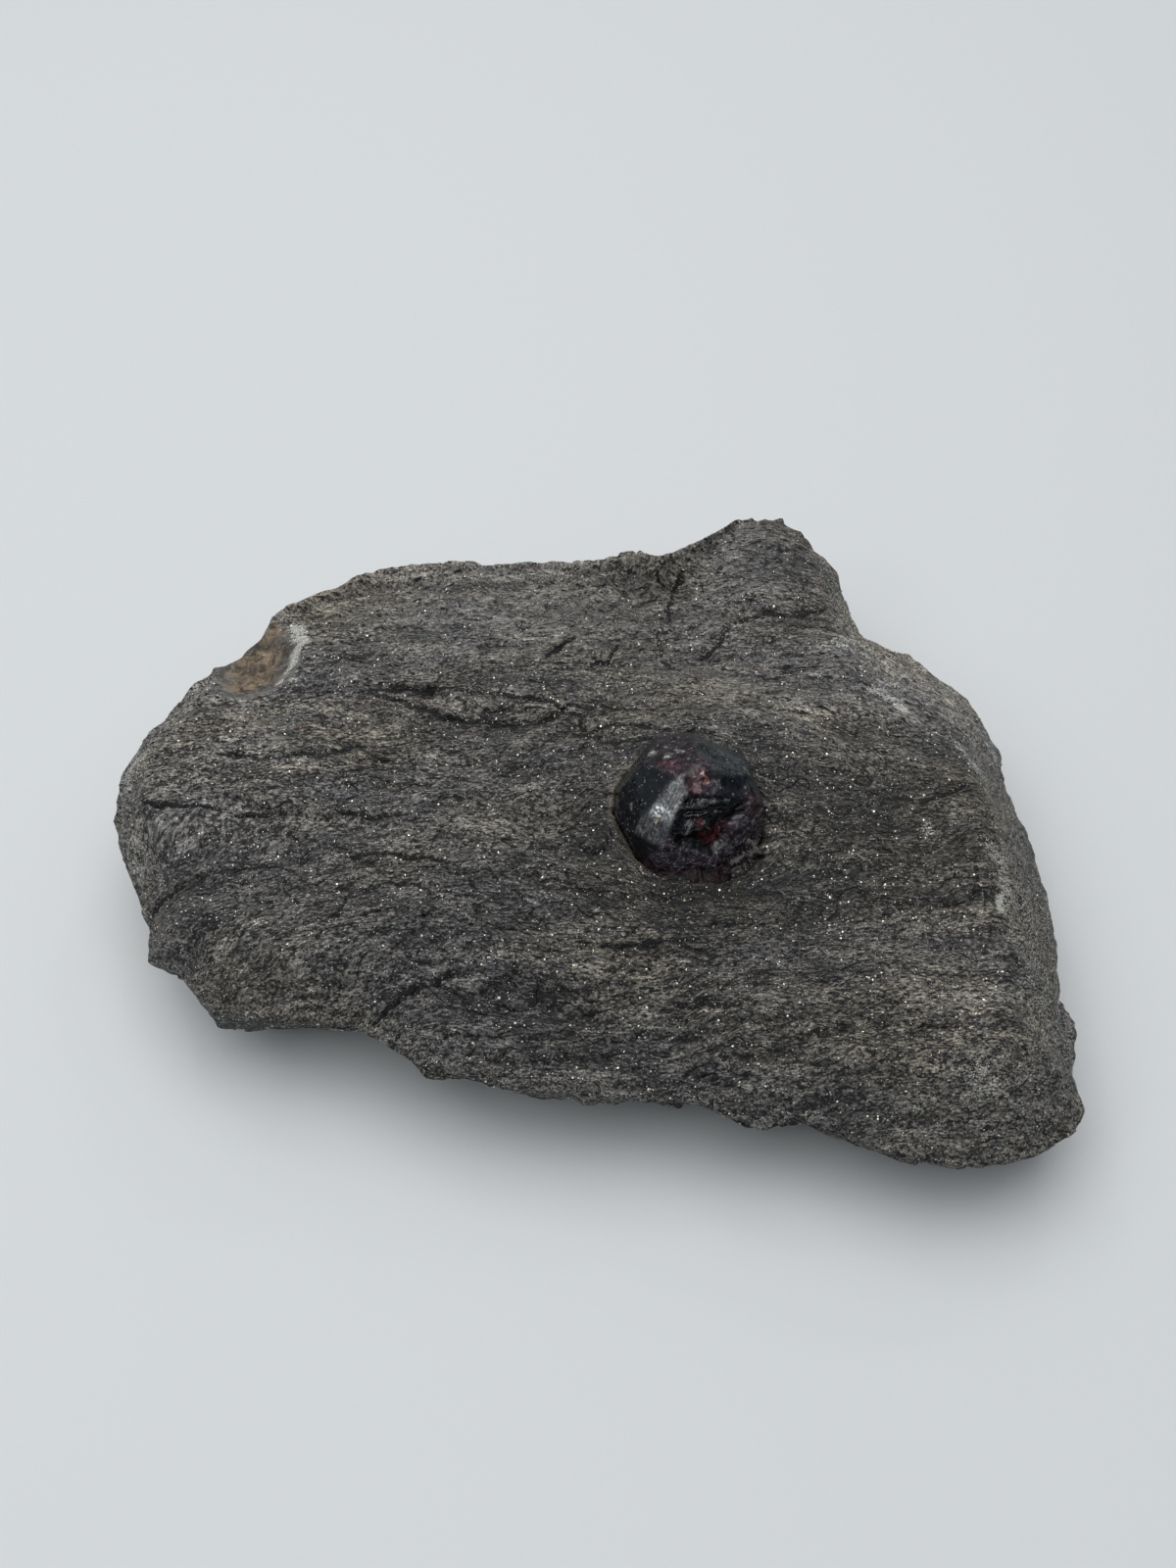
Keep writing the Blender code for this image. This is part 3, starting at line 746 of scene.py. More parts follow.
def top_surface(x, y, bearing, inward):
    """Height of the finished top, and the marks that the finishes need, the painted shade of its hollows
    among them.
    """
    _, rim_height, slope_width = rim_at(bearing)
    roundness = SLOPE_ROUNDNESS - RIDGE_SHARPENED * rising(x, *RIDGE_X)
    rolled = 1.0 - (1.0 - np.clip(inward / slope_width, 0.0, 1.0)) ** roundness
    height = rim_height + (sheet_height(x, y) - rim_height) * rolled
    height = height + rim_wander(bearing) * bell(inward, RIM_WANDER_REACH)
    lined = along_lineation(x, y)

    right_face = rising(x, *RIGHT_FACE_X) * falling(rolled, *RIGHT_FACE_TOP) * rising(y, *RIGHT_FACE_Y)
    end_face = np.maximum(right_face, rising(-x, *LEFT_FACE_X) * falling(rolled, *LEFT_FACE_TOP))
    off_rim = RIM_SPLIT + (1.0 - RIM_SPLIT) * smooth_step(inward / RIM_SPLIT_WIDTH)
    split = (1.0 - right_face) * (1.0 - END_FACE_UNSPLIT * end_face) * off_rim
    count = scale_count(x, lined)
    relief = split_relief(x, lined, count)
    height = height + split * relief + (1.0 - split) * rough((x, y, height), (4.6, 4.6, 4), 4, 60)

    beds = height / BED_EDGE + BED_EDGE_WAVE * rough((x, y), 12, 2, 70)
    stepped = (terraces(beds, BED_EDGE_RISER) - beds) * BED_EDGE
    height = height + BED_SHARE * falling(rolled, *BEDS_SHOW) * (1.0 - right_face) * stepped

    drop, crack_lines = cracks_at(x, y)
    cracked = (crack_lines[:, 1::2] * (np.abs(crack_lines[:, ::2]) < CRACK_HALF_WIDTH)).max(axis=1)
    height = height - drop - CRACK_DEPTH * cracked

    bowl = scar_bowl(x, y) + BOWL_UNEVEN * ripples((x, y), 3, 71)
    scar = rising(height, bowl, SCAR_BORDER)
    height = np.minimum(height, bowl)

    beyond = beyond_crystal(np.column_stack([x, y, height]))
    round_it = np.degrees(np.arctan2(y - CRYSTAL_MIDDLE[1], x - CRYSTAL_MIDDLE[0]))
    moat = moat_share(round_it) * bell(beyond, MOAT_WIDTH)
    height = height - MOAT_DEPTH * moat
    beyond = beyond_crystal(np.column_stack([x, y, height]))
    under = crystal_underside(x, y) - SOCKET_GAP
    height = np.where(beyond < -CONTACT, np.minimum(height, under), height)
    by_seam = np.abs(np.mod(round_it + 360.0, 360.0) - SEAM_BEARING) < SEAM_HALF_TURN

    return height, {
        "split": split,
        # Painted shade: the moat round the crystal and the troughs of the relief are marked to be darkened
        "hollow": np.clip(0.9 * moat + split * np.clip(-0.1 - relief, 0.0, 0.5), 0.0, 1.0),
        "scar": scar,
        "beyond": beyond,
        "lined": lined,
        "crack_lines": crack_lines,
        "count": count,
        "scaly": split * smooth_step(inward / 1.5) * (1.0 - scar),
        "right_face": right_face,
        "seam": bell(beyond - SEAM_OUT, SEAM_WIDTH) * by_seam,
        "level": (TOP_LEVEL_SHARE + (1.0 - TOP_LEVEL_SHARE) * end_face) * (height - LEVEL_FROM),
        "side": np.zeros(len(height)),
    }


# %% [markdown]
# ## Broken sides
# The sides break across the layers, so they are stepped: beds a few millimetres thick stick out or fall
# back, thin ones ride on them, and lumps break both up. All of it is a distance inside the rim. It starts
# at nothing at the rim, so the top and the side share their border, and it never reaches outside it.

# %% Setback of the sides: bearing in degrees, distance in millimetres
UNDERCUT = (
    (-90, 21), (-42, 19), (-28, 10), (0, 6.5), (45, 5), (90, 6), (150, 6), (180, 7.5), (197, 12),
    (210, 20), (270, 21),
)
UNDERCUT_CURVE = 1.6
SIDE_LUMP_SIZE, SIDE_LUMP_DEPTH = 14.0, 2.2
BED_THICKNESS, BED_STEP, BED_RISER = 5.2, 2.9, 0.25
THIN_BED, THIN_BED_STEP, THIN_BED_RISER = 1.7, 0.75, 0.3
BED_DIP, BED_WAVE, BED_SHIFT = 0.012, 0.4, 3.7
SCOOP_DEPTH, SCOOP_STANDS_OUT = 5.0, 0.8
SIDE_STARTS_OVER, SIDE_GRAIN, BED_WANDER = 0.12, 0.75, 0.8


def undercut_at(bearing):
    """How far the side's foot lies inside the rim, straight between the table's bearings."""
    degrees = np.mod(np.degrees(bearing) + 90.0, 360.0) - 90.0
    return np.interp(degrees, *np.array(UNDERCUT).T)


def bed_offset(x, y, z, thickness, riser, number):
    """Each bed has its own lumps; the offset jumps from one bed to the next across a short riser."""
    bed = z / thickness + BED_DIP * x + BED_WAVE * lumps((x, y), 30, number)
    layer = np.floor(bed)
    edge = smooth_step((bed - layer - 1.0 + riser) / riser)
    low, high = (lumps((x, y, one * BED_SHIFT), (17, 17, 1), number + 1) for one in (layer, layer + 1.0))
    return low + (high - low) * edge


def side_setback(bearing, x, y, z, fallen):
    """How far the side lies inside the rim, and its fine relief alone."""
    setback = undercut_at(bearing) * fallen**UNDERCUT_CURVE
    setback = setback + SIDE_LUMP_DEPTH * lumps((x, y, z), SIDE_LUMP_SIZE, 20)
    setback = setback + BED_STEP * bed_offset(x, y, z, BED_THICKNESS, BED_RISER, 21)
    setback = setback + SCOOP_DEPTH * np.abs(ripples((x, y, z), (15, 15, 11), 23)) - SCOOP_STANDS_OUT
    wavy_z = z + BED_WANDER * rough((x, y, z), 9, 2, 25)
    fine = THIN_BED_STEP * bed_offset(3.0 * x, 3.0 * y, wavy_z, THIN_BED, THIN_BED_RISER, 26)
    fine = fine + SIDE_GRAIN * rough((x, y, z), (5.5, 5.5, 3), 4, 28)
    return np.maximum(setback + fine, 0.0) * smooth_step(fallen / SIDE_STARTS_OVER), fine


# %% [markdown]
# ## Building the slab's surface
# The top needs an even grid that ends in the rim. Squares drawn round the middle of a square grid are
# turned into rings, so the grid's border becomes the rim with no seam and no pole. Rows of the same points
# then go down the side, and one flat face closes the underside.

# %% Rings from squares
TOP_CELLS, SIDE_ROWS = 240, 42
RIM_CHIPS, CHIPS_CLOSE_IN = 0.9, 10
RIM_SLANT, SLANT_CLOSES_IN = 0.67, 14


def disc_from_square(u, v):
    """Squares round the middle become circles: the larger of |u| and |v| is the share of the way out."""
    share = np.maximum(np.abs(u), np.abs(v))
    wide = np.abs(u) > np.abs(v)
    safe_u = np.where(wide, u, 1.0)
    safe_v = np.where(wide | (v == 0.0), 1.0, v)
    from_u = math.pi / 4.0 * v / safe_u + np.where(u < 0.0, math.pi, 0.0)
    from_v = math.pi / 2.0 - math.pi / 4.0 * u / safe_v + np.where(v < 0.0, math.pi, 0.0)
    return share, np.where(wide, from_u, from_v)


def grid_numbers(cells):
    """The numbers of a square grid's points, in rows."""
    return np.arange((cells + 1) ** 2).reshape(cells + 1, cells + 1)


def grid_quads(index):
    """The quads between the rows and columns of a grid of point numbers."""
    corners = (index[:-1, :-1], index[:-1, 1:], index[1:, 1:], index[1:, :-1])
    return np.stack(corners, axis=-1).reshape(-1, 4)


def plan_place(share, bearing):
    """Plan place of each share of the way to the rim: chipped in and out, and shifted to the front."""
    radius = rim_at(bearing)[0]
    rim_place = (radius * np.cos(bearing), radius * np.sin(bearing))
    reach = share * radius + RIM_CHIPS * rough(rim_place, 4.5, 4, 80) * share**CHIPS_CLOSE_IN
    y = HEART[1] + reach * np.sin(bearing) - RIM_SLANT * rim_wander(bearing) * share**SLANT_CLOSES_IN
    return HEART[0] + reach * np.cos(bearing), y, radius


# %% Put the slab together
PLAIN_SIDE = {"split": 0.55, "scar": 0.0, "beyond": 50.0, "right_face": 0.3, "seam": 0.0, "side": 1.0}


def slab_arrays():
    """Points, quads, the ring round the underside, and per-point marks of the slab."""
    steps = np.linspace(-1.0, 1.0, TOP_CELLS + 1)
    share, bearing = disc_from_square(*(axis.ravel() for axis in np.meshgrid(steps, steps)))
    x, y, radius = plan_place(share, bearing)
    height, marks = top_surface(x, y, bearing, (1.0 - share) * radius)
    top = np.column_stack([x, y, height])

    grid = grid_numbers(TOP_CELLS)
    border = np.concatenate([grid[0, :-1], grid[:-1, -1], grid[-1, :0:-1], grid[:0:-1, 0]])
    row = np.repeat(np.arange(1, SIDE_ROWS + 1), len(border))
    turn = np.tile(bearing[border], SIDE_ROWS)
    rim_x, rim_y, rim_z = np.tile(top[border], (SIDE_ROWS, 1)).T
    z = rim_z * (1.0 - row / SIDE_ROWS)
    setback, fine = side_setback(turn, rim_x, rim_y, z, row / SIDE_ROWS)
    x, y = rim_x - setback * np.cos(turn), rim_y - setback * np.sin(turn)
    on_side = {name: np.full(len(row), value) for name, value in PLAIN_SIDE.items()} | {
        # Painted shade: the recessed parts of the side's fine relief are marked to be darkened
        "hollow": np.clip(fine - 0.2, 0.0, 0.8),
        "crack_lines": np.tile((CRACK_REACH, 0.0), (len(row), CRACK_GROUPS)),
        "lined": along_lineation(x, y),
        "count": scale_count(x + 0.6 * y, 1.6 * z),
        "scaly": 0.8 * rising(row, 1, 3),
        "level": np.tile(marks["level"][border], SIDE_ROWS) - rim_z + z,
    }
    marks = {name: np.concatenate([marks[name], on_side[name]]) for name in on_side}

    rings = np.vstack([border, len(top) + np.arange(len(row)).reshape(SIDE_ROWS, -1)])
    after = np.roll(rings, -1, axis=1)
    sides = np.stack([rings[:-1], rings[1:], after[1:], after[:-1]], axis=-1).reshape(-1, 4)
    points = np.vstack([top, np.column_stack([x, y, z])])
    return points, np.vstack([grid_quads(grid), sides]), rings[-1, ::-1], marks


# %% Meshes and their per-point values
def add_piece(name, points, faces):
    """A mesh object at the origin from points in millimetres, shaded smooth."""
    mesh = bpy.data.meshes.new(name)
    mesh.from_pydata((points * MM).tolist(), [], faces)
    mesh.update()
    mesh.shade_smooth()
    return add_object(name, mesh)


def mark_points(piece, marks):
    """Stores numbers or colours, one for each point of a piece, under the names that its material reads."""
    for name, values in marks.items():
        values = np.asarray(values, dtype=np.float32)
        kind, key = ("FLOAT", "value") if values.ndim == 1 else ("FLOAT_COLOR", "color")
        piece.data.attributes.new(name, kind, "POINT").data.foreach_set(key, values.ravel())


slab_points, slab_quads, underside, slab_marks = slab_arrays()
slab = add_piece("mica_schist_slab", slab_points, slab_quads.tolist() + [underside.tolist()])
print("slab points:", len(slab_points), "lowest, highest:", slab_points.min(axis=0), slab_points.max(axis=0))

# %% [markdown]
# ## Marks on the slab
# Some places differ from the rest: the rust-brown scar and its pale rim, white bruises where the edge was
# knocked, painted highlights on two facets of the left edge, areas that are lighter or darker, partly by
# their own tone and partly by painted light and shade, and areas of finer grain. Each could be painted by
# hand. A patch in plan with a soft, ragged border needs only a few numbers, and is kept as a value per point.

# %% Patches: plan x, plan y, half widths, a turn in degrees on pale and rusty ones, and strength
# Pale patches: white bruises, and at the left edge, near x -76 and -73, painted highlights on two edge facets
PALE_PATCHES_AND_EDGE_HIGHLIGHTS = (
    (47.3, 32.8, 3.6, 2.2, 20, 0.62), (52.2, 19.8, 4.6, 1.5, -50, 0.85), (54.6, 16.2, 2.8, 0.7, -52, 1.6),
    (65, 5.2, 4.4, 1, -50, 0.8), (56, -9.2, 1.6, 1.4, 0, 0.55), (66.8, -14.5, 1.8, 3.6, 12, 0.68),
    (68, -19, 1.8, 2.6, 0, 0.55), (66.4, -22.5, 0.7, 2.8, -8, 1.3), (71, 12.5, 2.2, 1, -55, 0.75),
    (-76.2, 8, 2.6, 4.2, 0, 0.6), (-73.4, -9.8, 2, 3.8, 20, 0.6), (-33.4, 40, 2, 0.8, 0, 0.5),
    (-28.5, 15.6, 2.2, 1, 10, 0.45), (-50.5, -26, 1.6, 0.9, 0, 0.45), (60.5, -51, 3.4, 2.4, 0, 0.42),
)
RUST_AREAS = (
    (-57, 30.2, 4.8, 8, -28, 0.95), (-58.6, 25, 4.2, 3.2, 20, 1), (-56.4, 34.8, 3, 3, 0, 0.85),
)
RUST_SPOT = (-46.4, 11.7, 0.9, 0.7, 0.0, 1.0)
# Lighter and darker areas: partly the rock's own tone, partly painted light on the far band and the right
# slope and painted shade round the crystal's foot
TONES_AND_PAINTED_LIGHT = (
    (46, -8, 17, 14, -0.62), (16, -26, 32, 9, -0.18), (-20, -12, 28, 12, 0.2), (-10, 42, 70, 18, 0.7),
    (-15, 51, 40, 5, 0.42), (58, 22, 14, 18, 0.7), (33, 46, 10, 10, -0.15), (34, 20, 17, 8, 0.55),
    (-62, 14, 18, 22, 0.94), (-40, -33, 26, 7, 0.42), (62, -44, 14, 14, 0.34), (18, -20.5, 16, 5, -0.66),
    (3, -9, 4, 10, -0.92), (-25, 27, 30, 9, 0.14), (5, 10, 9, 3, -0.12), (-70, 0, 8, 20, -0.14),
    (30, 15, 12, 6, 0.28), (70, -20, 6, 20, 0.18),
)
CALM_AREAS = (
    (-12, 40, 50, 14, 1), (32, 50, 16, 14, 1), (24, 22, 24, 12, 0.75), (52, 26, 16, 14, 0.5),
    (-62, 20, 14, 12, 0.4),
)
# Rim of the scar: plan x, plan y, width
SCAR_RIM = (
    (-50.6, 36.4, 1.5), (-49, 33, 1.7), (-50.2, 29.4, 1), (-51.8, 25.8, 0.8), (-52.8, 23, 0.6),
)
PALE_RIM = 1.35
SIDE_BELOW = 12.0
PATCH_RAGGED, RIM_RAGGED = 0.9, 1.3
# Where the scar starts in plan x, and over what width
SCAR_FROM = (-68, 5)
# Painted light: the broken right face is made lighter, as if it caught more light
RIGHT_FACE_PAINTED_LIGHT = 0.25


def ragged(x, y, amount, number):
    """A wander for the border of a patch, of grains a few millimetres across."""
    return amount * rough((x, y), 2.4, 3, number)


def patches_at(x, y, *patches):
    """The strongest of a few turned ovals, each 1 times its strength inside, with a ragged border."""
    shares = [np.zeros(np.shape(x))]
    border = ragged(x, y, PATCH_RAGGED, 90)
    for middle_x, middle_y, half_x, half_y, turn, strength in patches:
        angle = math.radians(turn)
        across = (x - middle_x) * math.cos(angle) + (y - middle_y) * math.sin(angle)
        along = -(x - middle_x) * math.sin(angle) + (y - middle_y) * math.cos(angle)
        away = np.hypot(across / half_x, along / half_y) + border
        shares.append(strength * falling(away, 0.5, 0.8))
    return np.max(shares, axis=0)


def scar_rim_at(x, y):
    """The crushed rim of the scar: strongest on its line, falling over a width that changes along it."""
    pale = np.zeros(np.shape(x))
    border = ragged(x, y, RIM_RAGGED, 91)
    for start, end in zip(SCAR_RIM[:-1], SCAR_RIM[1:]):
        distance, share = line_distance(x, y, start[:2], end[:2])
        width = start[2] + (end[2] - start[2]) * share
        pale = np.maximum(pale, PALE_RIM * (1.0 - smooth_step((distance + border) / width - 0.3)))
    return pale


slab_x, slab_y, slab_z = slab_points.T
on_top = slab_z > SIDE_BELOW
# Pale: white bruises, the scar's crushed rim, and painted highlights on two facets of the left edge
pale = np.maximum(patches_at(slab_x, slab_y, *PALE_PATCHES_AND_EDGE_HIGHLIGHTS), scar_rim_at(slab_x, slab_y))
calm = np.max([0.0 * slab_x, *soft_spots(slab_x, slab_y, CALM_AREAS)], axis=0)
# Tone, partly the rock's own and partly painted light and shade
tone_and_painted_light = sum(soft_spots(slab_x, slab_y, TONES_AND_PAINTED_LIGHT), 1.0)
mark_points(slab, {name: slab_marks[name] for name in ("split", "hollow", "count", "seam", "scaly", "side")})
mark_points(slab, {
    "scar": slab_marks["scar"] * rising(slab_x, *SCAR_FROM),
    "pale": pale * on_top,
    "lined": slab_marks["lined"] * MM,
    "level": slab_marks["level"] * MM,
    "calm": calm * on_top,
    "rust": patches_at(slab_x, slab_y, *RUST_AREAS),
    "rust_spot": patches_at(slab_x, slab_y, RUST_SPOT) * on_top,
    "tone_and_painted_light": tone_and_painted_light * (1.0 + RIGHT_FACE_PAINTED_LIGHT * slab_marks["right_face"]),
})
for group, pair in enumerate(np.split(slab_marks["crack_lines"], CRACK_GROUPS, axis=1)):
    mark_points(slab, {f"crack_{group}": np.column_stack([pair, np.zeros_like(pair)])})

# %% [markdown]
# ## The crystal's surface
# A crystal of flat faces is also a distance in every direction: along a direction, the skin is where the
# nearest face is met. Taking a power mean of all the faces, in place of the nearest one alone, rounds the
# edges a little, as wear does. The grid is a cube's six sides swollen onto a ball, so there are no poles.
# Each face then gets its own relief. The break is a hollow with a ragged outline, steep walls and narrow
# ribs. It is drawn on a plane that touches the ball, where its outline and its ribs are straight lines.

# %% The ball of directions
CRYSTAL_CELLS = 112
EDGE_SHARPNESS = 170.0


def cube_directions(cells):
    """Directions over a ball from the six sides of a cube, and the quads that join them at shared borders."""
    steps = np.tan(np.linspace(-math.pi / 4.0, math.pi / 4.0, cells + 1))
    a, b = (axis.ravel() for axis in np.meshgrid(steps, steps))
    one = np.ones(a.size)
    sides = ((one, a, b), (-one, b, a), (b, one, a), (a, -one, b), (a, b, one), (b, a, -one))
    every = np.vstack([np.column_stack(side) for side in sides])
    faces = np.vstack([grid_quads(grid_numbers(cells)) + side * a.size for side in range(6)])
    _, first, index = np.unique(np.round(every, 6), axis=0, return_index=True, return_inverse=True)
    every = every[first]
    return every / np.linalg.norm(every, axis=1)[:, None], index.reshape(-1)[faces]


directions, crystal_quads = cube_directions(CRYSTAL_CELLS)
print("crystal points:", len(directions), "quads:", len(crystal_quads))


def angle_from(bearing, rise):
    """Angle in degrees of every direction of the crystal from the one given."""
    return np.degrees(np.arccos(np.clip(directions @ direction_of(bearing, rise), -1.0, 1.0)))


# %% The break: its outline and ribs by bearing and rise, then each rib's height and half width
HOLLOW_HEART = (-75.0, 42.0)
HOLLOW_EDGE = (
    (-117, 68), (-95, 73), (-52, 66), (-29, 57), (-14, 39), (-22, 26), (-38, 18), (-51, 6), (-71, 2),
    (-90, 14), (-109, 22), (-118, 36), (-119, 52),
)
HOLLOW_DEPTH, HOLLOW_WALL, HOLLOW_RAGGED = 1.5, 0.21, 0.065
HOLLOW_INSIDE = (0.01, 0.07)
NEAR_HEART, NEAREST_AHEAD = 0.3, 0.2
DEPTH_VARIES, RIBS_VARY, RIB_LARGEST = 0.6, 1.5, 1.5
RIBS = (
    ((-112, 57), (-92, 63), 0.5, 0.055), ((-92, 63), (-58, 61), 0.8, 0.065),
    ((-58, 61), (-34, 52), 0.65, 0.055), ((-102, 52), (-70, 54), 0.45, 0.03),
    ((-70, 54), (-46, 48), 0.45, 0.03), ((-92, 46), (-98, 33), 0.55, 0.06),
    ((-76, 44), (-66, 33), 0.45, 0.035), ((-52, 38), (-58, 22), 0.45, 0.045),
)
NOT_ZERO = 1e-9


def on_break_plane(way):
    """Where directions meet the plane that touches the ball over the hollow's heart, as two numbers each."""
    heart = direction_of(*HOLLOW_HEART)
    east = np.cross((0.0, 0.0, 1.0), heart)
    east = east / np.linalg.norm(east)
    ahead = np.maximum(way @ heart, NEAREST_AHEAD)
    return way @ east / ahead, way @ np.cross(heart, east) / ahead


def corners_on_plane(corners):
    """The same for corners given by bearing and rise, in one row each."""
    return np.column_stack(on_break_plane(direction_of(*np.array(corners).T)))


def hollow_depth(place):
    """Depth of the break with its steep walls and its ribs, the share inside, and the share of the ribs."""
    u, v = on_break_plane(directions)
    u = u + HOLLOW_RAGGED * rough(place, 1.7, 3, 117)
    v = v + HOLLOW_RAGGED * rough(place, 1.7, 3, 118)
    away = np.full(len(u), FAR_OFF)
    inside = np.zeros(len(u), dtype=bool)
    edge = corners_on_plane(HOLLOW_EDGE)
    for start, end in zip(edge, np.roll(edge, -1, axis=0)):
        away = np.minimum(away, line_distance(u, v, start, end)[0])
        crossing = (start[1] > v) != (end[1] > v)
        slope = (end[0] - start[0]) / (end[1] - start[1] + NOT_ZERO)
        inside ^= crossing & (u < start[0] + slope * (v - start[1]))
    inside = inside & (directions @ direction_of(*HOLLOW_HEART) > NEAR_HEART)
    depth = HOLLOW_DEPTH * smooth_step(np.where(inside, away, 0.0) / HOLLOW_WALL)
    depth = depth * (1.0 + DEPTH_VARIES * rough(place, (4, 4, 3), 2, 119))
    rib = np.zeros(len(u))
    for start, end, height, half_width in RIBS:
        across = line_distance(u, v, *corners_on_plane((start, end)))[0]
        rib = np.maximum(rib, height * bell(across, half_width))
    rib = rib * np.clip(1.0 + RIBS_VARY * rough(place, (1.8, 1.8, 1.4), 3, 120), 0.0, RIB_LARGEST)
    return depth * (1.0 - rib), inside * rising(away, *HOLLOW_INSIDE), rib * inside


# %% Chips: bearing, rise, half angle in degrees, depth
SCOOPS = (
    (-12, 52, 13, 0.45), (0, 34, 12, 0.3), (-133, 41, 4, 0.45), (-160, 16, 9, 0.45), (128, 58, 9, 0.25),
    (62, 66, 10, 0.35), (-95, 77, 8, 0.3), (-40, 74, 9, 0.35),
)
SCOOP_WARP = 4.5


def scooped(place):
    """Depth of the shell-like chips, the deepest at each place."""
    depth = 0.0
    warp = SCOOP_WARP * rough(place, 3.2, 4, 113)
    for bearing, rise, half_angle, deepest in SCOOPS:
        away = (angle_from(bearing, rise) + warp) / half_angle
        depth = np.maximum(depth, deepest * (1.0 - np.clip(away, 0.0, 1.0) ** 2))
    return depth


# %% Finish of each kind of face: colour, roughness, relief in millimetres, silvery share
FACE_FINISHES = {
    "dark_mirror": ((0.006, 0.008, 0.010), 0.10, 0.015, 0.0),
    "silver": ((0.088, 0.091, 0.095), 0.36, 0.05, 1.0),
    "plum": ((0.014, 0.009, 0.012), 0.28, 0.10, 0.0),
    "slate": ((0.015, 0.019, 0.021), 0.26, 0.06, 0.0),
    "violet": ((0.002, 0.002, 0.006), 0.20, 0.12, 0.0),
    "broken": ((0.001, 0.001, 0.002), 0.10, 0.10, 0.0),
    "lilac_grey": ((0.070, 0.057, 0.070), 0.36, 0.09, 0.0),
    "speckled": ((0.002, 0.003, 0.005), 0.16, 0.14, 0.0),
    "ledge": ((0.030, 0.032, 0.036), 0.34, 0.14, 0.5),
}
# Painted reflection: the break's ribs get a paler grey-blue that stands in for the light they mirror
RIB_PAINTED_REFLECTION = (0.058, 0.066, 0.073)
RIB_REFLECTION_SHARE, STAIN_ROUGHNESS = (2.2, -0.55, 0.85), 0.4
GRAIN_SIZE, WEAR_SIZE, BLOTCH_SIZE = 1.3, 0.8, 1.1
FIBRE_HEIGHT, WEAR_DEPTH, SPLINTER_HEIGHT = 0.05, 0.10, 0.24
SILVER_FACE = (-125.0, 55.0)
FIBRE_WAY = np.array((-0.40, -0.62, -0.67))
# Stains and painted glows: bearing, rise, half angle in degrees, colour, strength. The deep reds in and round
# the break are painted glow of light through thin garnet, and the pinks painted glints; the other wine reds,
# the greys and the yellow one are stains and specks of rock.
STAINS_AND_PAINTED_GLOWS = (
    (-75, 81, 9, (0.046, 0.016, 0.021), 0.8), (60, 82, 6, (0.06, 0.026, 0.034), 0.7),
    (-98, 86, 2.4, (0.16, 0.08, 0.08), 0.8), (-28, 83, 1.8, (0.21, 0.12, 0.105), 0.8),
    (-34, 77, 2, (0.18, 0.085, 0.075), 0.8), (-98, 76, 4.6, (0.07, 0.016, 0.019), 0.8),
    (-74, 73, 3.4, (0.085, 0.018, 0.02), 0.8), (153, 65, 4, (0.08, 0.014, 0.021), 0.9),
    (165, 74, 7, (0.04, 0.008, 0.014), 0.8), (-9, 28, 7, (0.06, 0.019, 0.018), 0.8),
    (-14, 20, 6, (0.045, 0.018, 0.02), 0.8), (-83, 46, 3, (0.1, 0.016, 0.019), 0.9),
    (-69, 24, 11, (0.05, 0.005, 0.01), 1), (-47, 25, 10, (0.06, 0.007, 0.012), 1),
    (-80, 34, 4, (0.07, 0.008, 0.013), 0.9), (-64, 16, 5, (0.09, 0.012, 0.017), 0.9),
    (-52, 31, 5, (0.085, 0.011, 0.016), 0.9), (143, 48, 3.2, (0.17, 0.16, 0.155), 0.8),
    (134, 61, 4.2, (0.16, 0.15, 0.15), 0.8), (119, 63, 3.4, (0.12, 0.112, 0.11), 0.7),
    (-165, 27, 2.8, (0.15, 0.145, 0.125), 0.7), (-132, 41, 2.4, (0.18, 0.12, 0.04), 1),
    (-134, 47, 5, (0.33, 0.34, 0.35), 0.9), (-117, 6, 11, (0.034, 0.028, 0.036), 0.9),
    (-36, 16, 13, (0.05, 0.04, 0.05), 0.8), (-62, 6, 5, (0.09, 0.085, 0.08), 0.6),
)


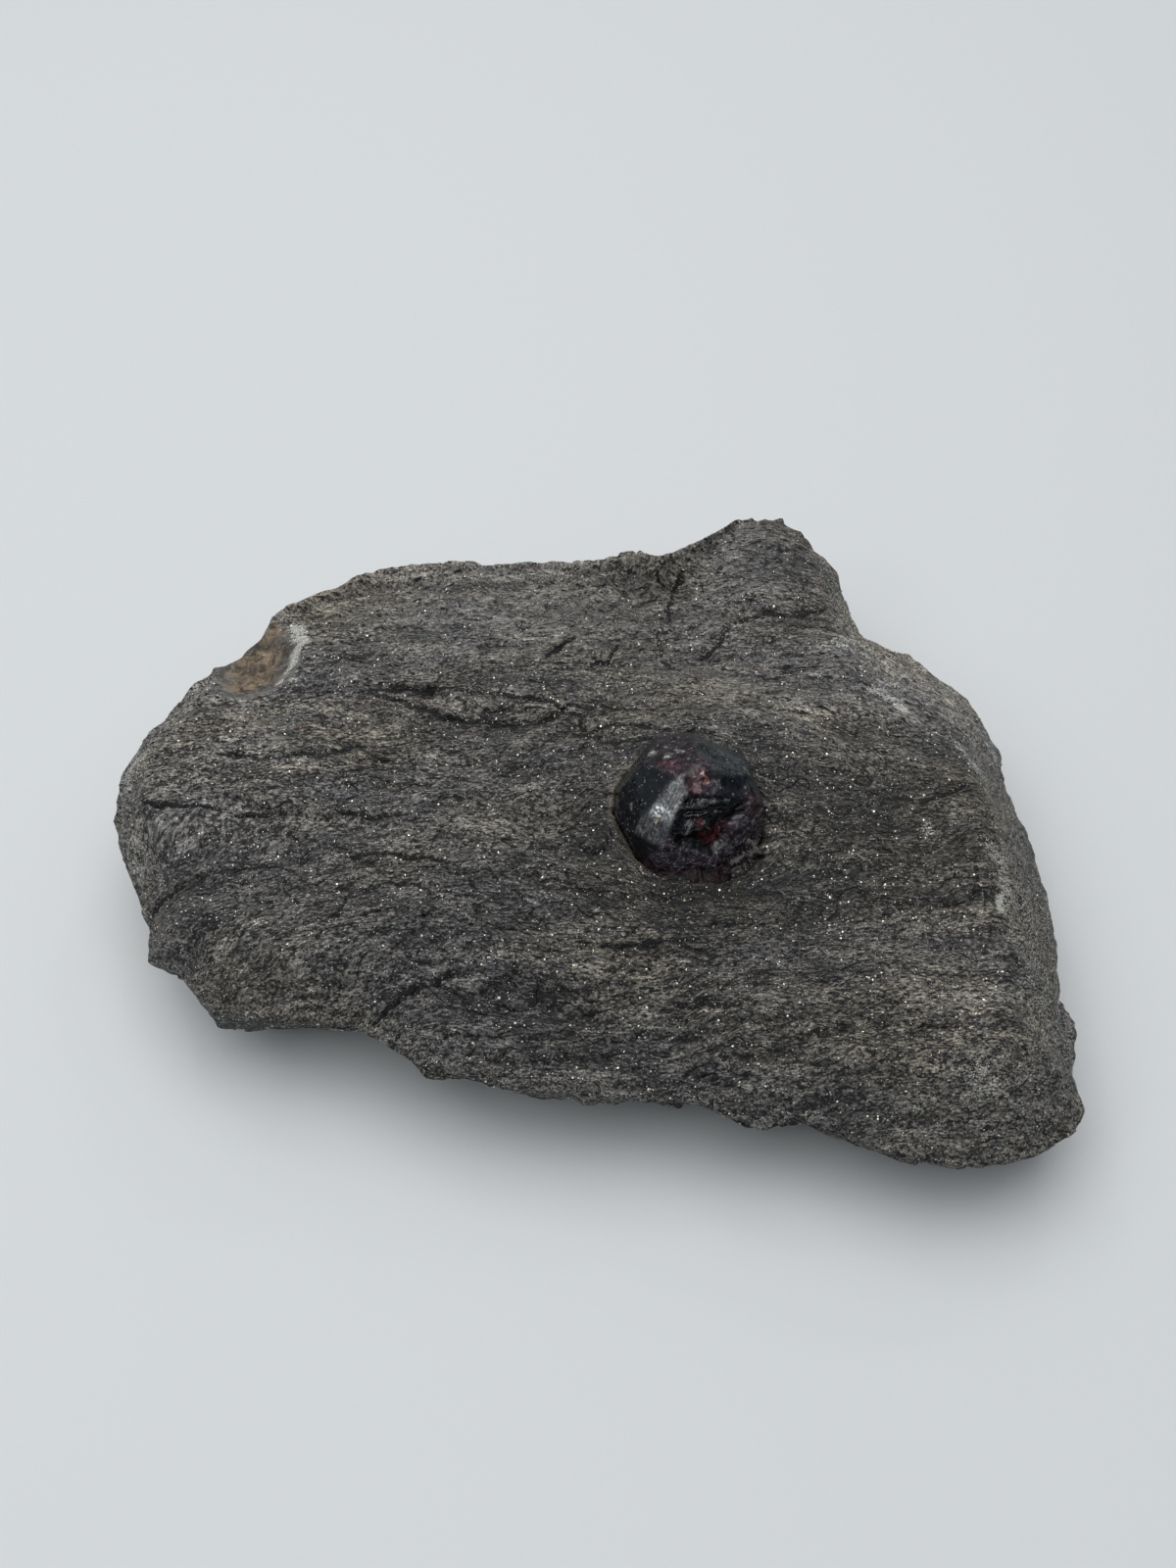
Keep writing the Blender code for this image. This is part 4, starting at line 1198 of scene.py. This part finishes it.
def crystal_arrays():
    """Points of the crystal, and the marks that its finish needs."""
    faces = CRYSTAL_FACES + LOST_SHELL
    face_out, face_distance = face_directions(faces)
    closeness = np.maximum(directions @ face_out.T, 0.0) / face_distance
    power = closeness**EDGE_SHARPNESS
    reach = power.sum(axis=1) ** (-1.0 / EDGE_SHARPNESS)
    weight = power / power.sum(axis=1, keepdims=True)
    columns = zip(*(FACE_FINISHES[face[3]] for face in faces))
    colour, roughness, grain_height, silver = (weight @ np.array(column) for column in columns)

    place = (directions * reach[:, None]).T
    hollow, broken, rib = hollow_depth(place)
    silver = silver * (1.0 - broken)
    along = directions @ FIBRE_WAY * reach
    across = directions @ np.cross(FIBRE_WAY, direction_of(*SILVER_FACE)) * reach
    fibres = FIBRE_HEIGHT * silver * ripples((across, along), (0.30, 2.5), 114)
    worn = WEAR_DEPTH * (1.0 - weight.max(axis=1)) * (1.0 + rough(place, WEAR_SIZE, 3, 115))
    grain = grain_height * rough(place, GRAIN_SIZE, 4, 112)
    splinters = SPLINTER_HEIGHT * broken * rough(place, (2.1, 2.1, 1.5), 3, 110)
    reach = reach + grain + fibres + splinters - worn - hollow - scooped(place)

    dark, gloss = FACE_FINISHES["broken"][:2]
    # The break near black, and its ribs in a painted reflection of paler grey-blue
    steep, start, most = RIB_REFLECTION_SHARE
    layers = [(dark, broken), (RIB_PAINTED_REFLECTION, np.clip(steep * rib + start, 0.0, most))]
    roughness = roughness + (gloss - roughness) * broken
    blotch = rough(place, BLOTCH_SIZE, 4, 116)
    # Stains, and painted glows of light through thin garnet
    for bearing, rise, half_angle, stain_and_glow, strength in STAINS_AND_PAINTED_GLOWS:
        share = strength * (1.0 - smooth_step(angle_from(bearing, rise) / half_angle - 0.5 + 1.3 * blotch))
        layers.append((stain_and_glow, share))
        roughness = roughness + (STAIN_ROUGHNESS - roughness) * 0.5 * share * (1.0 - broken)
    for layer, share in layers:
        colour = colour + (np.array(layer) - colour) * share[:, None]
    return CRYSTAL_MIDDLE + directions * reach[:, None], {
        "face_colour": np.column_stack([colour, np.ones(len(colour))]),
        "face_rough": roughness,
        "broken": broken,
        "silver": silver,
        "across": across * MM,
    }


crystal_points, crystal_marks = crystal_arrays()
crystal = add_piece("almandine_crystal", crystal_points, crystal_quads.tolist())
mark_points(crystal, crystal_marks)
print("crystal lowest, highest:", crystal_points.min(axis=0), crystal_points.max(axis=0))

# %% [markdown]
# ## The rind
# When the crystal's near side broke, a thin shell of garnet stayed behind in the socket. It stands as a
# crescent round the front of the crystal, with a narrow gap behind it. It could be cut from a second
# crystal. It is built as a strip bent round the contact instead, because each step along it is the same
# closed section, which shrinks to nothing towards both tips.

# %% Rind
RIND_FROM, RIND_TO, RIND_STEPS = -140.0, -20.0, 300
RIND_FIRST_LEVEL = 32.5
RIND_SECTION = (
    (-1, -1.6), (-0.98, 0.3), (-0.9, 0.85), (-0.62, 1.1), (-0.25, 1.05), (0.05, 0.85), (0.35, 0.52),
    (0.7, 0.15), (1, -0.35), (1, -1.6),
)
RIND_GAP, RIND_THINNEST, RIND_OUTWARD, RIND_HEIGHT = 0.32, 0.04, 2.1, 1.6
GROUND_OUT, GROUND_UP = 1.2, 0.4
# Pairs give where a rise starts along the rind, and over what share of its length
BULGE, CREST, PALE_END = (0.22, 0.25), (0.42, 0.25), (0.60, 0.15)
LEFT_TIP, RIGHT_TIP = 0.12, 0.10
LEFT_BULGE, LEFT_CREST, RIND_CHIPS, RIND_GRAIN = 0.40, 0.32, 0.60, 0.38
STEEPEST = 0.05


def contact_radius(bearing, level, faces):
    """Plan radius of the faces at each bearing and height: the nearest of their planes is met first."""
    face_out, face_distance = face_directions(faces)
    across = np.cos(bearing)[:, None] * face_out[:, 0] + np.sin(bearing)[:, None] * face_out[:, 1]
    room = face_distance - (level - CRYSTAL_MIDDLE[2])[:, None] * face_out[:, 2]
    return np.where(across > STEEPEST, room / np.maximum(across, STEEPEST), FAR_OFF).min(axis=1)


def slab_top(x, y):
    """The finished top's height at any place in plan."""
    from_x, from_y = x - HEART[0], y - HEART[1]
    bearing = np.arctan2(from_y, from_x)
    return top_surface(x, y, bearing, rim_at(bearing)[0] - np.hypot(from_x, from_y))[0]


def rind_arrays():
    """Points and faces of the crescent, and how pale its crest and the painted highlight of its lip are."""
    along = np.linspace(0.0, 1.0, RIND_STEPS)
    bearing = np.radians(RIND_FROM + (RIND_TO - RIND_FROM) * along)
    out = np.column_stack([np.cos(bearing), np.sin(bearing)])
    radius = contact_radius(bearing, np.full(RIND_STEPS, RIND_FIRST_LEVEL), ROCK_MEETS)
    for _ in range(3):
        ground = slab_top(*(CRYSTAL_MIDDLE[:2] + (radius + GROUND_OUT)[:, None] * out).T)
        radius = contact_radius(bearing, ground + GROUND_UP, ROCK_MEETS)
    room = radius - contact_radius(bearing, ground + GROUND_UP, CRYSTAL_FACES + LOST_SHELL) - RIND_GAP
    tip = smooth_step(along / LEFT_TIP) * smooth_step((1.0 - along) / RIGHT_TIP)
    chipped = 1.0 + RIND_CHIPS * rough((15.0 * along,), 1, 3, 130)
    inward = np.maximum(room, RIND_THINNEST) * tip
    outward = RIND_OUTWARD * (LEFT_BULGE + (1.0 - LEFT_BULGE) * rising(along, *BULGE)) * tip * chipped
    crest = (LEFT_CREST + (1.0 - LEFT_CREST) * rising(along, *CREST)) * np.sqrt(tip) * chipped

    across, up = np.array(RIND_SECTION).T
    wide = radius[:, None] + np.where(across < 0.0, np.outer(inward, across), np.outer(outward, across))
    x, y = (middle + wide * way[:, None] for middle, way in zip(CRYSTAL_MIDDLE, out.T))
    z = ground[:, None] + (np.outer(RIND_HEIGHT * crest, np.maximum(up, 0.0)) + np.minimum(up, 0.0))
    grain = RIND_GRAIN * rough((x, y, z), 1.6, 4, 131)
    points = np.stack([x + 0.6 * grain * out[:, :1], y + 0.6 * grain * out[:, 1:], z + grain], axis=-1)
    index = np.arange(x.size).reshape(x.shape)
    after = np.roll(index, -1, axis=1)
    quads = np.stack([index[:-1], after[:-1], after[1:], index[1:]], axis=-1).reshape(-1, 4)
    caps = [index[0, ::-1].tolist(), index[-1].tolist()]

    inner = np.clip(-across - 0.7, 0.0, 0.2) * 5.0
    to_right = rising(along, *PALE_END)[:, None]
    # Painted highlight: a pale line along the top of the inner lip
    lip_highlight = 0.7 * rising(up, 0.6, 0.3) * inner
    pale = rising(up, -0.2, 0.5) * to_right + lip_highlight * (1.0 - to_right)
    return points.reshape(-1, 3), quads.tolist() + caps, pale.ravel()


rind_points, rind_faces, rind_crest = rind_arrays()
rind = add_piece("garnet_rind", rind_points, rind_faces)
mark_points(rind, {"crest": rind_crest})
print("rind points:", len(rind_points))

# %% [markdown]
# ## Speckle, shared by rock and crystal
# Both carry small flecks of other minerals. They could be scattered as grains, but they are far smaller
# than a millimetre. The pattern is one node group: cells of a Voronoi pattern, each with its own random
# number, of which only the highest few show as specks. Each material places it with its own size.

# %% Speckle group
def speckle_group():
    """Specks in the cells whose number is within the share of the highest, and every cell's number."""
    group = bpy.data.node_groups.new("speckle", "ShaderNodeTree")
    for name, way, kind in (
        ("Vector", "INPUT", "Vector"),
        ("Scale", "INPUT", "Float"),
        ("Share", "INPUT", "Float"),
        ("Speck", "OUTPUT", "Float"),
        ("Number", "OUTPUT", "Float"),
    ):
        group.interface.new_socket(name, in_out=way, socket_type="NodeSocket" + kind)
    given = group.nodes.new("NodeGroupInput").outputs
    vector, scale, share = (Signal(group, given[name]) for name in ("Vector", "Scale", "Share"))
    distance = add_node(group, "TexVoronoi", {"Vector": vector, "Scale": scale}, "Distance", feature="F1")
    number = add_node(group, "SeparateColor", {"Color": distance.output("Color")})
    picked = maths("GREATER_THAN", number, 1.0 - share)
    speck = picked * ramp(distance, ((0.28, 1), (0.46, 0)))
    set_inputs(group.nodes.new("NodeGroupOutput"), {"Speck": speck, "Number": number})
    return group


SPECKLE = speckle_group()


def speckle(vector, scale, share):
    """Places the speckle group, and gives its specks and its numbers."""
    inputs = {"Vector": vector, "Scale": scale, "Share": share}
    speck = add_node(vector.tree, "Group", {}, "Speck", node_tree=SPECKLE)
    set_inputs(speck.socket.node, inputs)
    return speck, speck.output("Number")


# %% [markdown]
# ## Schist
# Close up the rock is salt and pepper: pale quartz and feldspar, black biotite, all in flecks drawn out
# along the lineation. Further off it has long darker and paler streaks, and areas that lean to brown or to
# blue. The flecks come from noise on stretched coordinates, made of the point's own x, its warped y and its
# level. On breaks across the layers the flecks are short, so a second, even grain takes over there. Painted
# shade lays thin dark lines on the edges of scales, sheets and plates and on the joints of the beds, and in
# the cracks, which follow the distances that the points keep, in small pits, and in the hollows that the
# points mark. Broad areas are lighter or darker, partly by their own tone and partly by painted light and
# shade.

# %% Colours of the rock, by the place on each ramp
GRAIN_GREYS = (
    (0.425, (0.004, 0.0039, 0.004)),
    (0.468, (0.033, 0.032, 0.033)),
    (0.508, (0.112, 0.108, 0.103)),
    (0.558, (0.200, 0.192, 0.178)),
    (0.615, (0.340, 0.326, 0.298)),
)
CLOUD_TINTS = ((0.38, (0.85, 0.85, 0.89)), (0.50, (1.0, 0.985, 0.96)), (0.62, (1.15, 1.10, 0.99)))
BLOTCH_TONES = ((0.40, 0.66), (0.50, 1.0), (0.60, 1.40))
PLATE_TONES = ((0.40, 0.80), (0.47, 0.74), (0.485, 1.10), (0.54, 1.02), (0.553, 1.26), (0.64, 1.10))
BED_TONES = ((0.36, 0.45), (0.50, 0.95), (0.62, 1.55))
BAND_TINT = (0.64, 0.66, 0.72)
WARM_TINT = (1.08, 1.06, 1.025)
# Painted shade: near-black for scale edges, sheet and plate lines, bed joints, cracks, pits and hollows
CREVICE_SHADE = (0.005, 0.005, 0.006)
SCAR_GREYS = ((0.42, (0.080, 0.080, 0.076)), (0.58, (0.220, 0.214, 0.195)))
SCAR_RUSTS = ((0.41, (0.058, 0.048, 0.036)), (0.50, (0.135, 0.10, 0.064)), (0.60, (0.31, 0.23, 0.15)))
RUST_SPOT_COLOUR = (0.060, 0.028, 0.014)
CHALK_AND_HIGHLIGHT_GREYS = ((0.38, (0.27, 0.26, 0.235)), (0.58, (0.80, 0.79, 0.73)))
SEAM_COLOUR = (0.42, 0.38, 0.28)
GRAIN_MIDDLE, CALMED = 0.51, 0.52
ROCK_ROUGHNESS, FLECK_GLOSS = 0.78, 0.25
ROCK_BUMP, ROCK_BUMP_DEPTH = 0.8, 0.0006


# %% Schist material
def crack_marks(tree, fray, kept):
    """The painted shade line of every traced crack, and the step of its near side, from the signed distances.
    """
    lines, steps = [], []
    for group in range(CRACK_GROUPS):
        pair = add_node(tree, "SeparateColor", {0: point_value(tree, f"crack_{group}", "Color")})
        strength = pair.output(1)
        side = pair + fray
        lines.append(band(side, 0.0, 0.42) * (strength * 2.7))
        steps.append((side / 0.4).clamped() * strength)
    return (largest(*lines) * kept).clamped(), largest(*steps)


def schist_material():
    """The grain first, then tints with painted light and shade, broad bands, painted shade lines, the marks
    of wear, and the relief of them all.
    """
    material, tree, shader = new_material("mica_schist")
    place = add_node(tree, "TexCoord", {}, "Object")
    along = add_node(tree, "SeparateXYZ", {0: place})
    drawn = {0: along, 1: point_value(tree, "lined"), 2: point_value(tree, "level")}
    drawn = add_node(tree, "CombineXYZ", drawn)
    split, hollow, scaly, calm, side, scar = (
        point_value(tree, name) for name in ("split", "hollow", "scaly", "calm", "side", "scar")
    )

    fleck_place = add_node(tree, "Mapping", {"Vector": drawn, "Scale": (0.6, 1.0, 1.2)})
    _, number = speckle(fleck_place, 4200.0, 0.05)
    flecks = noise(drawn, (1150, 3500, 2800), 3, 0.65)
    streaks = noise(drawn, (170, 680, 560), 4, 0.66)
    grains = noise(place, 3700, 3, 0.65)
    long_grain = flecks * 0.45 + grains * 0.20 + streaks * 0.24 + number * 0.11
    even_grain = grains * 0.68 + streaks * 0.15 + number * 0.17
    grain = mix_colour(split, even_grain, long_grain) - GRAIN_MIDDLE
    grain = grain * (1.0 - calm * CALMED) + GRAIN_MIDDLE
    base = tinted(ramp(grain, GRAIN_GREYS), ramp(noise(drawn, (24, 60, 150), 3, 0.5), CLOUD_TINTS))
    # Broad areas lighter or darker: partly the rock's own tone, partly painted light and shade
    base = tinted(base, point_value(tree, "tone_and_painted_light"))

    blotches = ramp(noise(place, 420, 5, 0.68, 0.6), BLOTCH_TONES)
    base = tinted(base, blotches, (0.9 - split).clamped())
    plates = noise(drawn, (150, 430, 420), 3, 0.5, 0.4)
    plated = (0.85 - calm * 0.35) * scaly
    base = tinted(base, ramp(plates, PLATE_TONES), plated)
    dark_bands = ramp(noise(drawn, (58, 310, 300), 3, 0.45), ((0.52, 0), (0.60, 1)))
    base = tinted(base, BAND_TINT, dark_bands * plated)
    base = tinted(base, WARM_TINT)

    fray = (noise(place, 1100, 3) - 0.5) * 1.5
    wide_fray = (noise(drawn, (260, 420, 420), 3) - 0.5) * 1.1
    patches = ramp(noise(drawn, (90, 190, 200), 3), ((0.45, 0), (0.62, 1)))
    # Painted shade: dark lines at the front edge of each scale, along sheets and at plate edges, where the
    # surface is scaly
    part = maths("FRACT", point_value(tree, "count") + fray * 0.10)
    gap = ramp(part, ((0, 0.9), (0.02, 1), (0.07, 0), (0.98, 0), (1, 0.9)))
    sheet = noise(drawn, (62, 250, 250), 3, 0.45)
    sheet_shade_lines = largest(band(sheet, 0.5, 0.017) * patches, band(sheet, 0.56, 0.013) * (1.0 - patches))
    lines = largest(gap * patches, sheet_shade_lines, band(plates, 0.477, 0.010) * 0.8)
    lines = lines * (scaly * (0.85 - calm * 0.5))
    beds = noise(place, (42, 42, 520), 4, 0.62)
    base = tinted(base, ramp(beds, BED_TONES), side * 0.85)
    # Painted shade: dark lines at the joints of the beds on the sides
    lines = largest(lines, largest(band(beds, 0.47, 0.012), band(beds, 0.55, 0.010)) * side)
    pits = ramp(noise(drawn, (600, 1500, 1200), 2), ((0.345, 1), (0.395, 0)))
    broken_up = ramp(noise(drawn, (330, 700, 700), 2), ((0.36, 0.35), (0.54, 1.3)))
    crack_shade, crack_step = crack_marks(tree, fray * 0.4 + wide_fray, broken_up)
    # Painted shade: the lines, the marked hollows, the cracks and the pits turn near-black
    dark = largest((lines + hollow * 0.7).clamped(), crack_shade, pits)
    base = mix_colour(dark, base, CREVICE_SHADE)

    blotch = noise(place, 260, 5, 0.65, 1.5)
    base = mix_colour(scar * 0.75, base, ramp(blotch, SCAR_GREYS))
    base = mix_colour(scar * point_value(tree, "rust"), base, ramp(blotch, SCAR_RUSTS))
    base = mix_colour(point_value(tree, "rust_spot"), base, RUST_SPOT_COLOUR)
    # Chalky white on bruises and on the scar's crushed rim, and painted highlight on two facets of the left
    # edge
    bruise_and_highlight = point_value(tree, "pale") * 0.95 + grains * 2.6 + flecks * 2.2 + streaks * 1.2 - 3.0
    base = mix_colour(ramp(bruise_and_highlight, ((0.45, 0), (1, 0.92))), base, ramp(grains, CHALK_AND_HIGHLIGHT_GREYS))
    base = mix_colour(point_value(tree, "seam") * grains, base, SEAM_COLOUR)

    scale_step = ramp(part, ((0, 0), (0.10, 1), (1, 0)))
    sheet_step = ramp(sheet, ((0.488, 0), (0.502, 1), (0.566, 0.8), (0.575, 0)))
    plate_step = ramp(plates, ((0.47, 0), (0.485, 0.7), (0.54, 0.5), (0.555, 1)))
    steps = (scale_step + (sheet_step * 0.8 + plate_step * 0.7)) * scaly
    raised = grain * 1.1 + steps * 0.35 + crack_step * -0.6 + dark * -0.45
    raised = raised + beds * side * 4.0 + blotch * scar * 2.2
    normal = bump(raised, ROCK_BUMP, ROCK_BUMP_DEPTH)
    dull = ROCK_ROUGHNESS - number * FLECK_GLOSS
    set_inputs(shader, {"Base Color": base, "Roughness": dull, "Normal": normal})
    return material


slab.data.materials.append(schist_material())

# %% [markdown]
# ## Garnet
# Thick almandine is so deep a red that it looks black, and only thin edges and cracks glow. It is not
# clear, so the colour is painted on its faces by kind, with that glow painted as wine-red glints in and
# round the break, a painted reflection on the break's ribs, pale specks of the rock left on it, fine fibres
# on the silvery face, and a glassy gloss that differs from face to face.

# %% Garnet material
ALMANDINE_IOR = 1.79
SHADES = ((0.38, 0.15), (0.50, 0.75), (0.62, 2.6))
MOTTLES = ((0.40, 0.30), (0.50, 0.90), (0.59, 2.4))
DUST_COLOUR = (0.062, 0.064, 0.070)
FIBRE_COLOUR = (0.420, 0.420, 0.420)
# Specks: scale, share of the cells, strength, colour
SPECKS = ((2700.0, 0.09, 0.6, (0.240, 0.235, 0.230)), (1450.0, 0.045, 0.55, (0.210, 0.200, 0.180)))


def garnet_material():
    """Face colours, painted glows and reflections among them, made uneven, then dust, fibres, specks and a
    relief that follows them.
    """
    material, tree, shader = new_material("almandine")
    place = add_node(tree, "TexCoord", {}, "Object")
    broken, silver, dull = (point_value(tree, name) for name in ("broken", "silver", "face_rough"))
    fibre_place = add_node(tree, "CombineXYZ", {0: point_value(tree, "across")})

    cloud = noise(place, 800, 5, 0.68, 0.8)
    shade = ramp(cloud, SHADES)
    uneven = (dull * 3.4).clamped()
    base = tinted(point_value(tree, "face_colour", "Color"), shade, uneven)
    base = tinted(base, ramp(noise(place, 2300, 3, 0.6), MOTTLES), uneven)
    dust = ramp(noise(place, 900, 6, 0.75), ((0.55, 0), (0.62, 1)))
    frosted = (dull - 0.08).clamped()
    dusty = ((frosted - 0.08).clamped() * 3.4).clamped() + broken * 0.05
    base = mix_colour(dust * dusty, base, DUST_COLOUR)
    fibre = noise(fibre_place, 3600, 2, 0.6)
    pale_fibre = ramp(fibre, ((0.42, 0), (0.60, 1))) * (shade * 0.35 + 0.65) * silver
    base = mix_colour(pale_fibre * 0.38, base, FIBRE_COLOUR)
    for scale, share, strength, colour in SPECKS:
        base = mix_colour(speckle(place, scale, share)[0] * (strength - broken * 0.5), base, colour)

    worn = ramp(cloud, ((0.45, 0), (0.62, 1))) * 0.16
    height = noise(place, 1500, 4, 0.65) * (frosted * 3.6) + fibre * silver
    height = height + noise(place, 620, 3, 0.6, 0.6) * (broken * 0.25)
    normal = bump(height, 0.5, 0.0002)
    set_inputs(shader, {"Base Color": base, "Roughness": dull + worn, "Normal": normal})
    set_inputs(shader, {"IOR": ALMANDINE_IOR, "Specular IOR Level": 0.25})
    return material


crystal.data.materials.append(garnet_material())

# %% Rind material
RIND_REDS = ((0.42, (0.002, 0.001, 0.002)), (0.52, (0.012, 0.003, 0.005)), (0.6, (0.034, 0.008, 0.012)))
# The pale grey serves the crushed crest and the painted highlight of the lip
RIND_PALE_AND_HIGHLIGHT = (0.150, 0.148, 0.134)


def rind_material():
    """Near-black red, crushed to a pale crest, with a painted highlight on its inner lip, where the points
    say so.
    """
    material, tree, shader = new_material("garnet_rind")
    fine = noise(add_node(tree, "TexCoord", {}, "Object"), 900, 5, 0.7)
    crest = point_value(tree, "crest") * ramp(fine, ((0.47, 0), (0.56, 1)))
    base = mix_colour(crest, ramp(fine, RIND_REDS), RIND_PALE_AND_HIGHLIGHT)
    set_inputs(shader, {"Base Color": base, "Normal": bump(fine, 0.7, 0.0005)})
    set_inputs(shader, {"IOR": ALMANDINE_IOR, "Roughness": 0.38, "Specular IOR Level": 0.15})
    return material


rind.data.materials.append(rind_material())

# %% [markdown]
# ## Mica flakes
# Thousands of mica plates lie in the rock's surface, bronze and silvery, and those that happen to face the
# light flash. Painted white dots would not move as the view turns, so the plates are real: flat
# four-cornered lenses of a few tenths of a millimetre, spread by area in loose clusters, each tilted a
# little from the surface under it.

# %% Scattering
FLAKES = 24400
FLAKE_REACH, FLAKE_TILT, FLAKE_LIFT, FLAKE_THICK = (0.09, 0.25), 0.30, 0.06, 0.03
OFF_CRYSTAL, OFF_SCAR, OFF_FLOOR = 0.4, 0.3, 0.6


def scatter(points, quads, count, number):
    """Places spread over quads by area in loose clusters, their outward directions, quads, and the draws."""
    chance = np.random.default_rng(SEED + number)
    corners = points[quads]
    across = np.cross(corners[:, 2] - corners[:, 0], corners[:, 3] - corners[:, 1])
    area = np.linalg.norm(across, axis=1)
    crowd = smooth_step(0.5 + 1.5 * rough(corners[:, 0].T, (9, 4, 4), 3, number + 140))
    share = np.cumsum(area * (0.35 + crowd))
    chosen = np.searchsorted(share / share[-1], chance.random(count))
    u, v = chance.random((2, count, 1))
    c = corners[chosen]
    places = (1 - u) * (1 - v) * c[:, 0] + u * (1 - v) * c[:, 1] + u * v * c[:, 2] + (1 - u) * v * c[:, 3]
    return places, across[chosen] / area[chosen, None], chosen, chance


def tilted_axes(out, chance):
    """Leans each outward direction by a random amount, and gives it two level axes with a random turn."""
    lean = out + FLAKE_TILT * chance.normal(size=out.shape)
    lean = lean / np.linalg.norm(lean, axis=1)[:, None]
    first = np.cross(lean, chance.normal(size=out.shape))
    first = first / np.linalg.norm(first, axis=1)[:, None]
    return lean, first, np.cross(lean, first)


def flake_arrays(places, out, chance):
    """Four corners in a flat ring and a low peak on each side of it, for every flake."""
    lean, first, second = tilted_axes(out, chance)
    count = len(places)
    reach = FLAKE_REACH[0] + (FLAKE_REACH[1] - FLAKE_REACH[0]) * chance.random((count, 1)) ** 3
    narrow = reach * (0.5 + 0.5 * chance.random((count, 1)))
    along, across, peak = reach * first, narrow * second, FLAKE_THICK * lean
    steps = (along, across, -along, -across, peak, -peak)
    points = np.stack([places + FLAKE_LIFT * out + step for step in steps], axis=1).reshape(-1, 3)
    corner = np.arange(4)
    upper = np.column_stack([corner, np.roll(corner, -1), np.full(4, 4)])
    lower = np.column_stack([np.roll(corner, -1), corner, np.full(4, 5)])
    faces = np.vstack([upper, lower])[None] + 6 * np.arange(count)[:, None, None]
    return points, faces.reshape(-1, 3)


def add_flakes(name, number):
    """Scatters one kind of mica over the slab, clear of the crystal and the scar."""
    places, out, quads, chance = scatter(slab_points, slab_quads, FLAKES, number)
    beyond, scar = (slab_marks[mark][slab_quads[quads, 0]] for mark in ("beyond", "scar"))
    kept = (beyond > OFF_CRYSTAL) & (scar < OFF_SCAR) & (places[:, 2] > OFF_FLOOR)
    points, faces = flake_arrays(places[kept], out[kept], chance)
    flakes = add_piece(name, points, faces.tolist())
    flakes.data.shade_flat()
    mark_points(flakes, {"shine": np.repeat(chance.random(kept.sum()), 6)})
    print(name, kept.sum())
    return flakes


# %% Two kinds of mica
BRONZE_MICA = ((0, (0.03, 0.025, 0.02)), (0.5, (0.20, 0.165, 0.125)), (1, (0.76, 0.66, 0.52)))
SILVER_MICA = ((0, (0.04, 0.04, 0.04)), (0.5, (0.32, 0.315, 0.30)), (1, (0.90, 0.89, 0.87)))


def mica_material(name, stops):
    """A metallic sheen, dark to bright by each flake's own number."""
    material, tree, shader = new_material(name)
    base = ramp(point_value(tree, "shine"), stops)
    set_inputs(shader, {"Base Color": base, "Roughness": 0.16, "Metallic": 0.8})
    return material


bronze_flakes = add_flakes("bronze_mica_flakes", 0)
bronze_flakes.data.materials.append(mica_material("bronze_mica", BRONZE_MICA))
silver_flakes = add_flakes("silver_mica_flakes", 1)
silver_flakes.data.materials.append(mica_material("silver_mica", SILVER_MICA))

# %% Join the pieces to the frame
for flakes in (bronze_flakes, silver_flakes):
    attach(flakes, "root")
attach(rind, "root")
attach(slab, "root")
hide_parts("schist_matrix")
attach(crystal, "root")
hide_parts("garnet_crystal")
